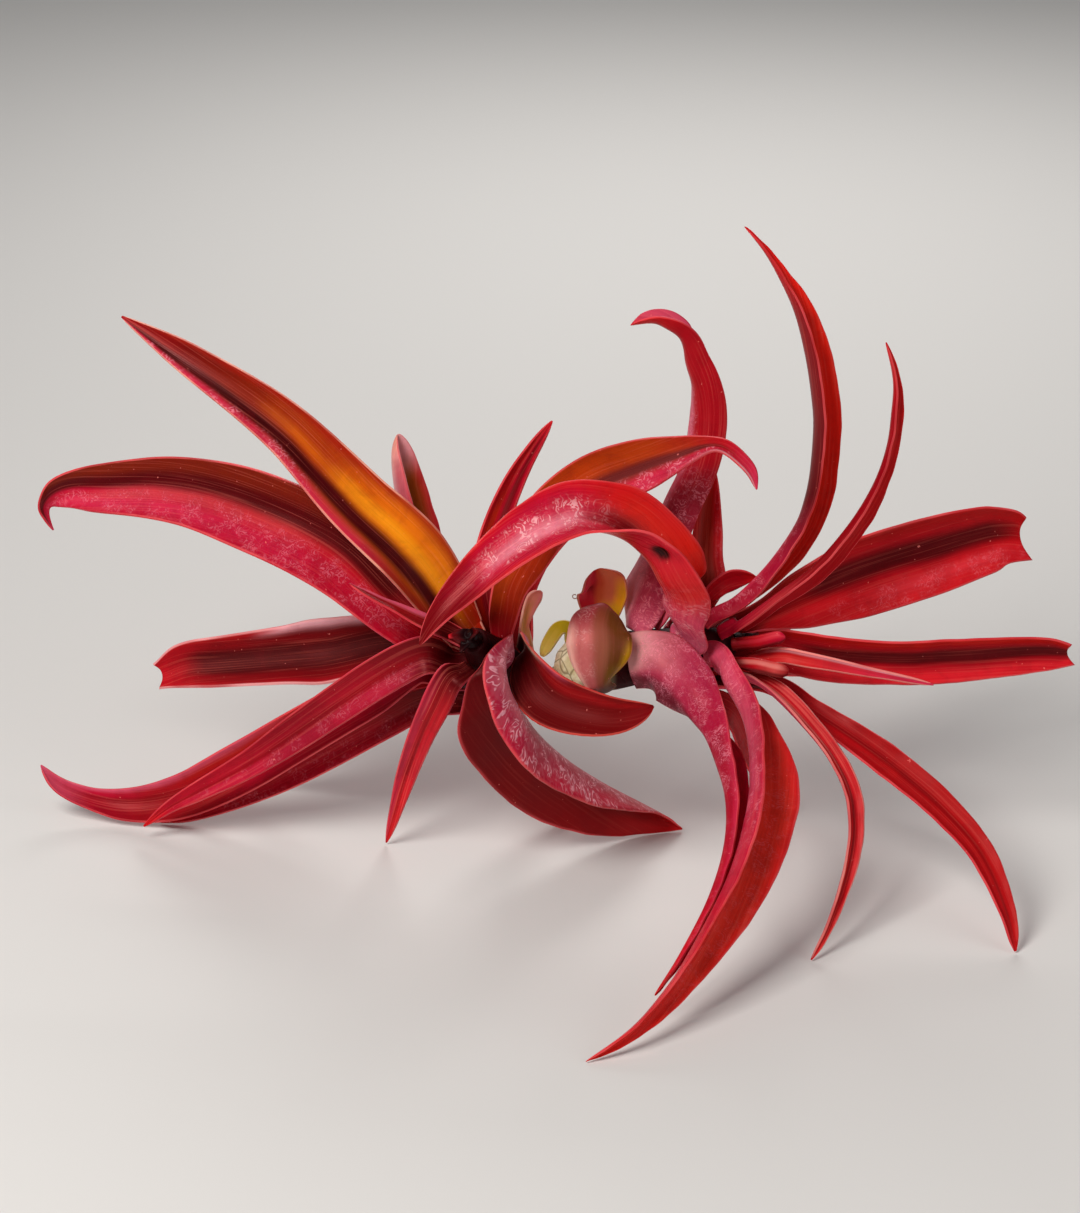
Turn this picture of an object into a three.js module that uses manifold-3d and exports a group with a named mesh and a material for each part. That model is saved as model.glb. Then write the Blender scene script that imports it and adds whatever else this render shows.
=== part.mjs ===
// Tillandsia brachycaulos in its red flush: one clump of two rosettes that share a forked stem.
//
// The clump lies on its recurved leaves, with no pot. Every leaf is a closed solid blade with a
// channelled section, seated on the stem by its own sheath and swept along its midrib.
//
// Points are written as seen from the clump's show side, in millimetres: "across" runs to the
// right, "up" runs up the picture plane and "toward" runs to the viewer. The show side looks
// down on the clump from VIEW_TILT above the surface it lies on. placeFromShowSide() turns such
// a point into the part's own frame, with +Z up and the surface at z = 0.

import * as THREE from 'three';
import Module from 'manifold-3d';
import { mergeVertices } from 'three/addons/utils/BufferGeometryUtils.js';

// Driving dimensions, in millimetres and degrees
const VIEW_TILT = 25;          // how far above the horizon the show side is seen from
const VIEW_DISTANCE = 1200;    // where that viewer stands; near points are drawn in to match
const REFERENCE_HEIGHT = 86;   // height above the surface of the point (0, 0, 0) of the show side
const SEAT_GAP = 0.35;         // clearance between a leaf's root and the stem it sits on
const ROOT_THICKNESS = 1.5;    // a blade's thickness along its midrib at the root
const TIP_THICKNESS = 0.8;     // the same at the tip
const MARGIN_THICKNESS = 0.7;  // the thinnest edge of a blade
const TIP_HALF_WIDTH = 0.5;    // half the width of the finest tip
const RINGS_PER_MM = 0.14;     // sections along a blade's length
const MIN_RINGS = 8;
const STRIPS = 4;              // facets across each face of a blade
const HEART_RINGS = 5;         // sections along a young blade in a rosette's heart

const radians = THREE.MathUtils.degToRad;
const ACROSS = new THREE.Vector3(1, 0, 0);
const UP = new THREE.Vector3(0, Math.sin(radians(VIEW_TILT)), Math.cos(radians(VIEW_TILT)));
const TOWARD = new THREE.Vector3(0, -Math.cos(radians(VIEW_TILT)), Math.sin(radians(VIEW_TILT)));

function placeFromShowSide(across, up, toward) {
  const drawnIn = (VIEW_DISTANCE - toward) / VIEW_DISTANCE;
  return new THREE.Vector3(0, 0, REFERENCE_HEIGHT)
    .addScaledVector(ACROSS, across * drawnIn)
    .addScaledVector(UP, up * drawnIn)
    .addScaledVector(TOWARD, toward);
}

// The two arms of the stem. Each carries one rosette: its axis runs from "base" to "apex".
// "zero" and "ninety" are the directions that bearings on that arm are measured from.
const leftArm = {
  base: placeFromShowSide(-8, -24, -22),
  apex: placeFromShowSide(-19.5, -12, 4),
  baseRadius: 7.6,
  apexRadius: 4.2,
  zero: ACROSS,
  ninety: UP,
};
const rightArm = {
  base: placeFromShowSide(12, -20, 0),
  apex: placeFromShowSide(58, -12.5, -8),
  baseRadius: 9,
  apexRadius: 4.2,
  zero: TOWARD,
  ninety: UP,
};

function armAxis(arm) {
  return arm.apex.clone().sub(arm.base).normalize();
}

function armRadius(arm, climb) {
  return THREE.MathUtils.lerp(arm.baseRadius, arm.apexRadius, climb * climb);
}

// The direction straight out of an arm at a bearing
function outward(arm, bearing) {
  const axis = armAxis(arm);
  const zero = arm.zero.clone().addScaledVector(axis, -arm.zero.dot(axis)).normalize();
  const ninety = arm.ninety.clone().addScaledVector(axis, -arm.ninety.dot(axis));
  ninety.addScaledVector(zero, -ninety.dot(zero)).normalize();
  return zero.multiplyScalar(Math.cos(radians(bearing)))
    .addScaledVector(ninety, Math.sin(radians(bearing)));
}

// The inner face of a blade that runs along "tangent", turned by "roll" about it. At roll 0 the
// inner face looks at the viewer, and at 90 it looks to the right-hand side of its own direction.
function innerFace(tangent, roll) {
  const side = tangent.clone().cross(TOWARD).normalize();
  const face = side.clone().cross(tangent);
  return face.multiplyScalar(Math.cos(radians(roll)))
    .addScaledVector(side, Math.sin(radians(roll)));
}

// One section of a blade, as offsets [sideways, inward] of its inner face then its outer face.
// "fold" is the channel's depth over its half width.
function bladeSection(half, fold, thickness) {
  const inner = [];
  const outer = [];
  for (let i = 0; i <= STRIPS; i++) {
    const v = -1 + 2 * i / STRIPS;
    const slope = 2 * fold * v;
    const length = Math.hypot(1, slope);
    const t = Math.max(MARGIN_THICKNESS, thickness * (1 - 0.45 * v * v)) / 2;
    const x = half * v;
    const y = fold * half * v * v;
    inner.push([x - slope / length * t, y + t / length]);
    outer.unshift([x + slope / length * t, y - t / length]);
  }
  return [...inner, ...outer];
}

// How far a section's visible middle lies from its midrib, along "sideways"
function visibleMiddle(section, side, face, sideways) {
  const seen = section.map(([x, y]) => x * side.dot(sideways) + y * face.dot(sideways));
  return (Math.min(...seen) + Math.max(...seen)) / 2;
}

// Closes rings of points into one solid skin, with a cap at either end
function skin(rings) {
  const around = rings[0].length;
  const positions = rings.flat().flatMap((p) => [p.x, p.y, p.z]);
  const faces = [];
  for (let r = 0; r + 1 < rings.length; r++) {
    for (let i = 0; i < around; i++) {
      const a = r * around + i;
      const b = r * around + (i + 1) % around;
      faces.push(a, b, b + around, a, b + around, a + around);
    }
  }
  const last = (rings.length - 1) * around;
  for (let i = 0; i + 1 < around / 2; i++) {
    const [a, b, c, d] = [i, i + 1, around - 2 - i, around - 1 - i];
    faces.push(a, c, b, a, d, c);
    faces.push(last + a, last + b, last + c, last + a, last + c, last + d);
  }
  const geometry = new THREE.BufferGeometry();
  geometry.setAttribute('position', new THREE.Float32BufferAttribute(positions, 3));
  geometry.setIndex(faces);
  if (signedVolume(geometry) < 0) {
    geometry.setIndex(faces.slice().reverse());
  }
  return geometry;
}

function signedVolume(geometry) {
  const p = geometry.getAttribute('position');
  const index = geometry.getIndex().array;
  const [a, b, c] = [new THREE.Vector3(), new THREE.Vector3(), new THREE.Vector3()];
  let volume = 0;
  for (let i = 0; i < index.length; i += 3) {
    a.fromBufferAttribute(p, index[i]);
    b.fromBufferAttribute(p, index[i + 1]);
    c.fromBufferAttribute(p, index[i + 2]);
    volume += a.dot(b.cross(c)) / 6;
  }
  return volume;
}

// A blade: its sheath stands on an arm of the stem at "climb" (0 at the base, 1 at the apex) and
// "bearing" and leaves it at "splay" degrees from the axis. From there the blade's middle, as the
// show side sees it, runs through its stations, each [across, up, toward, half width, roll, fold].
// A station without a fold takes the leaf's own. The stations of a leaf with "onMidrib" give its
// midrib instead. What is lower than the surface lies flat on it. A blade whose end is broken off
// has a "notch": the depth of the bite in its end, and how far its second margin outreaches it.
function bladeGeometry(arm, leaf) {
  const { climb, bearing, splay = 60, root, sheath = 4.5, fold, onMidrib = false, stations } = leaf;
  const [bite, outreach] = leaf.notch ?? [0, 0];
  const axis = armAxis(arm);
  const out = outward(arm, bearing);
  const halfSeat = ROOT_THICKNESS / 2 * Math.abs(Math.cos(radians(splay)));
  const radius = armRadius(arm, climb) + SEAT_GAP + halfSeat;
  const foot = arm.base.clone().lerp(arm.apex, climb).addScaledVector(out, radius);
  const rise = axis.clone().multiplyScalar(Math.cos(radians(splay)))
    .addScaledVector(out, Math.sin(radians(splay)));
  const seatedFace = axis.clone().multiplyScalar(Math.sin(radians(splay)))
    .addScaledVector(out, -Math.cos(radians(splay)));
  const wrap = (radius - Math.sqrt(Math.max(0, radius * radius - root * root))) / root;
  const points = [foot];
  const shape = [new THREE.Vector3(root, wrap, 0)];
  if (sheath > 0) {
    points.push(foot.clone().addScaledVector(rise, sheath));
    shape.push(new THREE.Vector3(root * 0.7 + stations[0][3] * 0.3, wrap * 0.5 + fold * 0.5, 0));
  }
  const rooted = points.length;
  for (const [across, up, toward, half, , ownFold = fold] of stations) {
    points.push(placeFromShowSide(across, up, toward));
    shape.push(new THREE.Vector3(half, ownFold, onMidrib ? 0 : 1));
  }
  const midrib = new THREE.CatmullRomCurve3(points, false, 'centripetal');
  midrib.arcLengthDivisions = 400;
  const spans = points.length - 1;
  const faces = points.map((_, i) => {
    const tangent = midrib.getTangent(i / spans);
    const face = i < rooted ? seatedFace.clone() : innerFace(tangent, stations[i - rooted][4]);
    return face.addScaledVector(tangent, -face.dot(tangent)).normalize();
  });
  const shapeAlong = new THREE.CatmullRomCurve3(shape, false, 'catmullrom', 0.4);
  const facesAlong = new THREE.CatmullRomCurve3(faces, false, 'catmullrom', 0.4);

  const count = Math.max(MIN_RINGS, Math.round(midrib.getLength() * RINGS_PER_MM));
  const rings = [];
  for (let r = 0; r <= count; r++) {
    const along = r / count;
    const t = (midrib.getUtoTmapping(along) + along) / 2;
    const centre = midrib.getPoint(t);
    const tangent = midrib.getTangent(t);
    const face = facesAlong.getPoint(t);
    face.addScaledVector(tangent, -face.dot(tangent)).normalize();
    const side = tangent.clone().cross(face);
    const { x: half, y: channel, z: settled } = shapeAlong.getPoint(t);
    const thickness = THREE.MathUtils.lerp(ROOT_THICKNESS, TIP_THICKNESS, along);
    const section = bladeSection(Math.max(half, TIP_HALF_WIDTH), channel, thickness);
    const sideways = tangent.clone().cross(TOWARD).normalize();
    const shift = visibleMiddle(section, side, face, sideways) * settled;
    rings.push(section.map(([x, y]) => {
      const p = centre.clone().addScaledVector(side, x).addScaledVector(face, y);
      p.addScaledVector(sideways, -shift);
      if (r === count) {
        const v = x / half;
        p.addScaledVector(tangent, outreach * v - bite * (1 - v * v));
      }
      p.z = Math.max(p.z, 0);
      return p;
    }));
  }
  return skin(rings);
}

// Colours of the finishes
const finishes = {
  scarlet: new THREE.MeshStandardMaterial({ color: 0xb3161d, roughness: 0.42 }),
  crimson: new THREE.MeshStandardMaterial({ color: 0xc22742, roughness: 0.48 }),
  amber: new THREE.MeshStandardMaterial({ color: 0xc8481a, roughness: 0.42 }),
  bract: new THREE.MeshStandardMaterial({ color: 0xb9913f, roughness: 0.5 }),
  stem: new THREE.MeshStandardMaterial({ color: 0xcdbfa0, roughness: 0.7 }),
};

const clump = new THREE.Group();

function addMesh(name, geometry, finish) {
  const mesh = new THREE.Mesh(geometry, finishes[finish]);
  mesh.name = name;
  clump.add(mesh);
}

// The leaves of the left rosette, whose mouth faces the viewer
const leftLeaves = {
  left_amber_leaf: {
    finish: 'amber', climb: 0.62, bearing: 130, root: 4.5, fold: 0.35,
    stations: [
      [-36.6, 12.6, 5, 10.2, 10],
      [-54.3, 29.4, 9, 9.8, 8],
      [-76.8, 52.2, 11, 7.6, 5],
      [-104, 71.5, 9, 4.8, 0],
      [-125.4, 85.2, 3, 0.6, 0],
    ],
  },
  left_hooked_leaf: {
    finish: 'crimson', climb: 0.42, bearing: 160, root: 4.5, fold: 0.4,
    stations: [
      [-42, -3.8, -2.8, 8.4, 5],
      [-61, 14.4, -1, 12.2, 5],
      [-85.5, 26.7, -3, 12.2, 5],
      [-108, 32.9, -5, 10, 5],
      [-131, 33.4, -8, 7.3, 0],
      [-143.5, 32, -11, 4.8, -20],
      [-148.2, 28, -13, 2.4, -50],
      [-147.4, 24, -14, 1.3, -60],
      [-145.5, 20.8, -14, 0.5, -60],
    ],
  },
  left_level_leaf: {
    finish: 'scarlet', climb: 0.2, bearing: 182, root: 4, fold: 0.5,
    notch: [1.4, -0.6],
    stations: [
      [-42, -12.5, -23.5, 7.5, 10],
      [-63.9, -15.1, -29, 10.2, 15],
      [-78, -16.6, -30, 8.9, 15],
      [-96.7, -18.5, -31.5, 7.7, 10],
      [-106, -19.5, -33, 6.8, 5],
      [-112, -21.8, -34.5, 4.6, 5],
      [-114, -22.6, -35.5, 3.8, 0],
    ],
  },
  left_upturned_leaf: {
    finish: 'crimson', climb: 0.34, bearing: 194, splay: 75, root: 4, fold: 0.4,
    stations: [
      [-35, -19.8, -15, 5.2, 0],
      [-51, -28.2, -22, 7, 0],
      [-72, -40.2, -34, 7.6, 0],
      [-90, -50.6, -44, 7.8, 0],
      [-108, -59, -50.5, 6.8, 10],
      [-123, -61.2, -54, 5.2, 15],
      [-135, -59.2, -54, 3.4, 20],
      [-144.5, -55, -52, 2.3, 20],
      [-149.6, -49.3, -48, 0.5, 20],
    ],
  },
  left_lower_leaf: {
    finish: 'crimson', climb: 0.6, bearing: 190, splay: 60, root: 3.5, fold: 0.4,
    stations: [
      [-33.5, -16.4, -0.5, 5.6, 0],
      [-45.2, -21.4, -4, 6, 0],
      [-59.2, -30.4, -11, 5.8, 0],
      [-73.3, -40.1, -20, 5.3, 0],
      [-87.4, -49.4, -28, 4.1, 0],
      [-101.4, -56.9, -35, 3, 0],
      [-110.8, -62, -39, 1.8, 0],
      [-118.8, -68, -42, 0.5, 0],
    ],
  },
  left_lowest_leaf: {
    finish: 'crimson', climb: 0.26, bearing: 233, splay: 75, root: 3.2, fold: 0.4,
    stations: [
      [-33, -30.4, -20, 4.6, 0],
      [-45.2, -36, -27, 5, 0],
      [-59.2, -43.4, -35, 5.1, 0],
      [-73.3, -51.1, -42.5, 4.6, 0],
      [-87.4, -57.8, -48.5, 3.6, 0],
      [-101.4, -63, -53, 2.6, 0],
      [-113.6, -67.1, -54, 0.5, 0],
    ],
  },
  left_narrow_leaf: {
    finish: 'crimson', climb: 0.72, bearing: 228, splay: 62, root: 3, sheath: 3, fold: 0.4,
    stations: [
      [-26.6, -23.4, 1, 4.4, 0],
      [-30.6, -31, -4, 4.4, 0],
      [-35.1, -40.3, -13, 3.8, 0],
      [-39.4, -51.6, -25, 3.1, 0],
      [-43.1, -63.7, -34.5, 1.8, 0],
      [-45.8, -73.2, -41.8, 0.5, 0],
    ],
  },
  left_sweeping_leaf: {
    finish: 'scarlet', climb: 0.6, bearing: 345, splay: 25, root: 3.8, sheath: 4, fold: 1.1, onMidrib: true,
    stations: [
      [-9.6, -14.8, 5.5, 4.3, 82, 0.6],
      [-10.5, -19.4, 9.4, 5.9, 80, 1.1],
      [-9.6, -26.3, 7, 7.9, 65, 1.3],
      [-6.4, -33.5, 0, 12, 57, 1.27],
      [-1.2, -40.8, -10, 12.6, 55, 1.25],
      [5.8, -47.6, -20, 12.6, 53, 1.2],
      [14.5, -53.8, -30.5, 12, 50, 1.1],
      [25.2, -60, -41, 9, 42, 1],
      [34, -64.4, -47, 5.4, 38, 0.8],
      [43.3, -68.7, -49.6, 0.5, 35, 0.6],
    ],
  },
  left_cradle_leaf: {
    finish: 'scarlet', climb: 0.28, bearing: 30, splay: 38, root: 3.2, sheath: 4, fold: 0.45,
    stations: [
      [-4.4, -13.4, -6, 4.3, 90],
      [-4.9, -18.6, -1.5, 6.4, 58],
      [-1.2, -25.9, 3, 7.5, 14],
      [6.7, -31.5, 6, 7.8, -5],
      [20.8, -34.7, 9, 6, -5],
      [28.8, -33.9, 8, 3.6, -5],
      [33, -32.5, 7, 1.7, 0],
      [34.6, -31.8, 5.5, 0.5, 0],
    ],
  },
  left_arching_leaf: {
    finish: 'scarlet', climb: 0.5, bearing: 62, splay: 35, root: 4, fold: 0.4,
    stations: [
      [-9.4, 1.6, 0, 4.8, 5],
      [-4.6, 12, 4, 6.8, 0],
      [2.6, 23.4, 8, 8.2, -5],
      [15, 34.2, 12, 8.6, -10],
      [30.8, 40.3, 15, 8, -10],
      [43.4, 44.5, 17.5, 4.8, -10],
      [51.4, 46.6, 18.5, 2.4, -10],
      [57, 45.3, 18.5, 2.1, -10],
      [61.7, 41.2, 18, 1.9, -10],
      [64.5, 37, 17.5, 1.3, -10],
      [65.4, 32.9, 17, 0.5, -10],
    ],
  },
  left_spear_leaf: {
    finish: 'scarlet', climb: 0.34, bearing: 92, splay: 42, root: 3, fold: 0.6,
    stations: [
      [-16.6, 1, -10, 3.6, 0],
      [-15.2, 14, -11, 3.9, 0],
      [-11.1, 27, -10, 3.6, 0],
      [-6, 38.1, -8, 2.8, 0],
      [-0.9, 46.5, -5, 1.8, 0],
      [4.2, 54, -2, 0.6, 0],
    ],
  },
  left_blunt_leaf: {
    finish: 'amber', climb: 0.16, bearing: 108, splay: 45, root: 3.2, fold: 1.1,
    stations: [
      [-30, 5, -18, 5.6, 60],
      [-34.4, 20, -19, 6.4, 62],
      [-37, 29, -19, 6.5, 64],
      [-39.2, 37, -18, 6, 64],
      [-41.4, 46, -17, 3.4, 62],
      [-42, 50, -16, 1.4, 60],
    ],
  },
  left_inner_leaf: {
    finish: 'crimson', climb: 0.85, bearing: 150, root: 2.5, fold: 0.4,
    stations: [
      [-34, -6.5, 7, 3, 40],
      [-42, -2.7, 10, 2.4, 50],
      [-49.5, 0.9, 12.5, 1.6, 50],
      [-57.3, 5.1, 13.5, 0.6, 50],
    ],
  },
  left_pale_bract: {
    finish: 'bract', climb: 0.08, bearing: 40, splay: 35, root: 2.2, sheath: 0, fold: 0.4,
    stations: [
      [-4.4, -8.4, -15, 1.8, 40],
      [-3.3, -3.8, -14, 2, 30],
      [-1.1, 0.9, -12, 2.2, 20],
      [0.9, 2.8, -11, 1.2, 20],
    ],
  },
  left_rear_leaf: {
    finish: 'scarlet', climb: 0.1, bearing: 265, splay: 112, root: 3.5, fold: 0.4,
    stations: [
      [-10, -43, -38, 5.2, 0],
      [-2, -53.5, -50, 5, 0],
      [7, -60, -56, 3.2, 0],
      [16, -64.3, -59.2, 0.5, 0],
    ],
  },
  left_far_leaf: {
    finish: 'crimson', climb: 0.04, bearing: 150, splay: 80, root: 3.5, fold: 0.5,
    stations: [
      [-36, -5, -30, 5.5, 0],
      [-58, 12.5, -44, 6.6, 0],
      [-80, 25, -56, 6.2, 0],
      [-98, 30.5, -65, 4.2, 0],
      [-112, 32, -70, 0.5, 0],
    ],
  },
  left_under_leaf: {
    finish: 'crimson', climb: 0.04, bearing: 212, splay: 85, root: 3.2, fold: 0.5,
    stations: [
      [-34, -27, -32, 4.6, 0],
      [-52, -34, -44, 5.4, 0],
      [-68, -42.5, -55, 4.4, 0],
      [-82, -49.5, -63, 0.5, 0],
    ],
  },
  left_tall_rear_leaf: {
    finish: 'scarlet', climb: 0.02, bearing: 72, splay: 90, root: 3.2, fold: 0.5,
    stations: [
      [-6, -1, -32, 4.2, 0],
      [-1.5, 13, -41, 5, 0],
      [6, 23.5, -47, 4.8, 0],
      [15, 30.5, -51, 3.2, 0],
      [24, 35, -53, 0.5, 0],
    ],
  },
};

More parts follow.
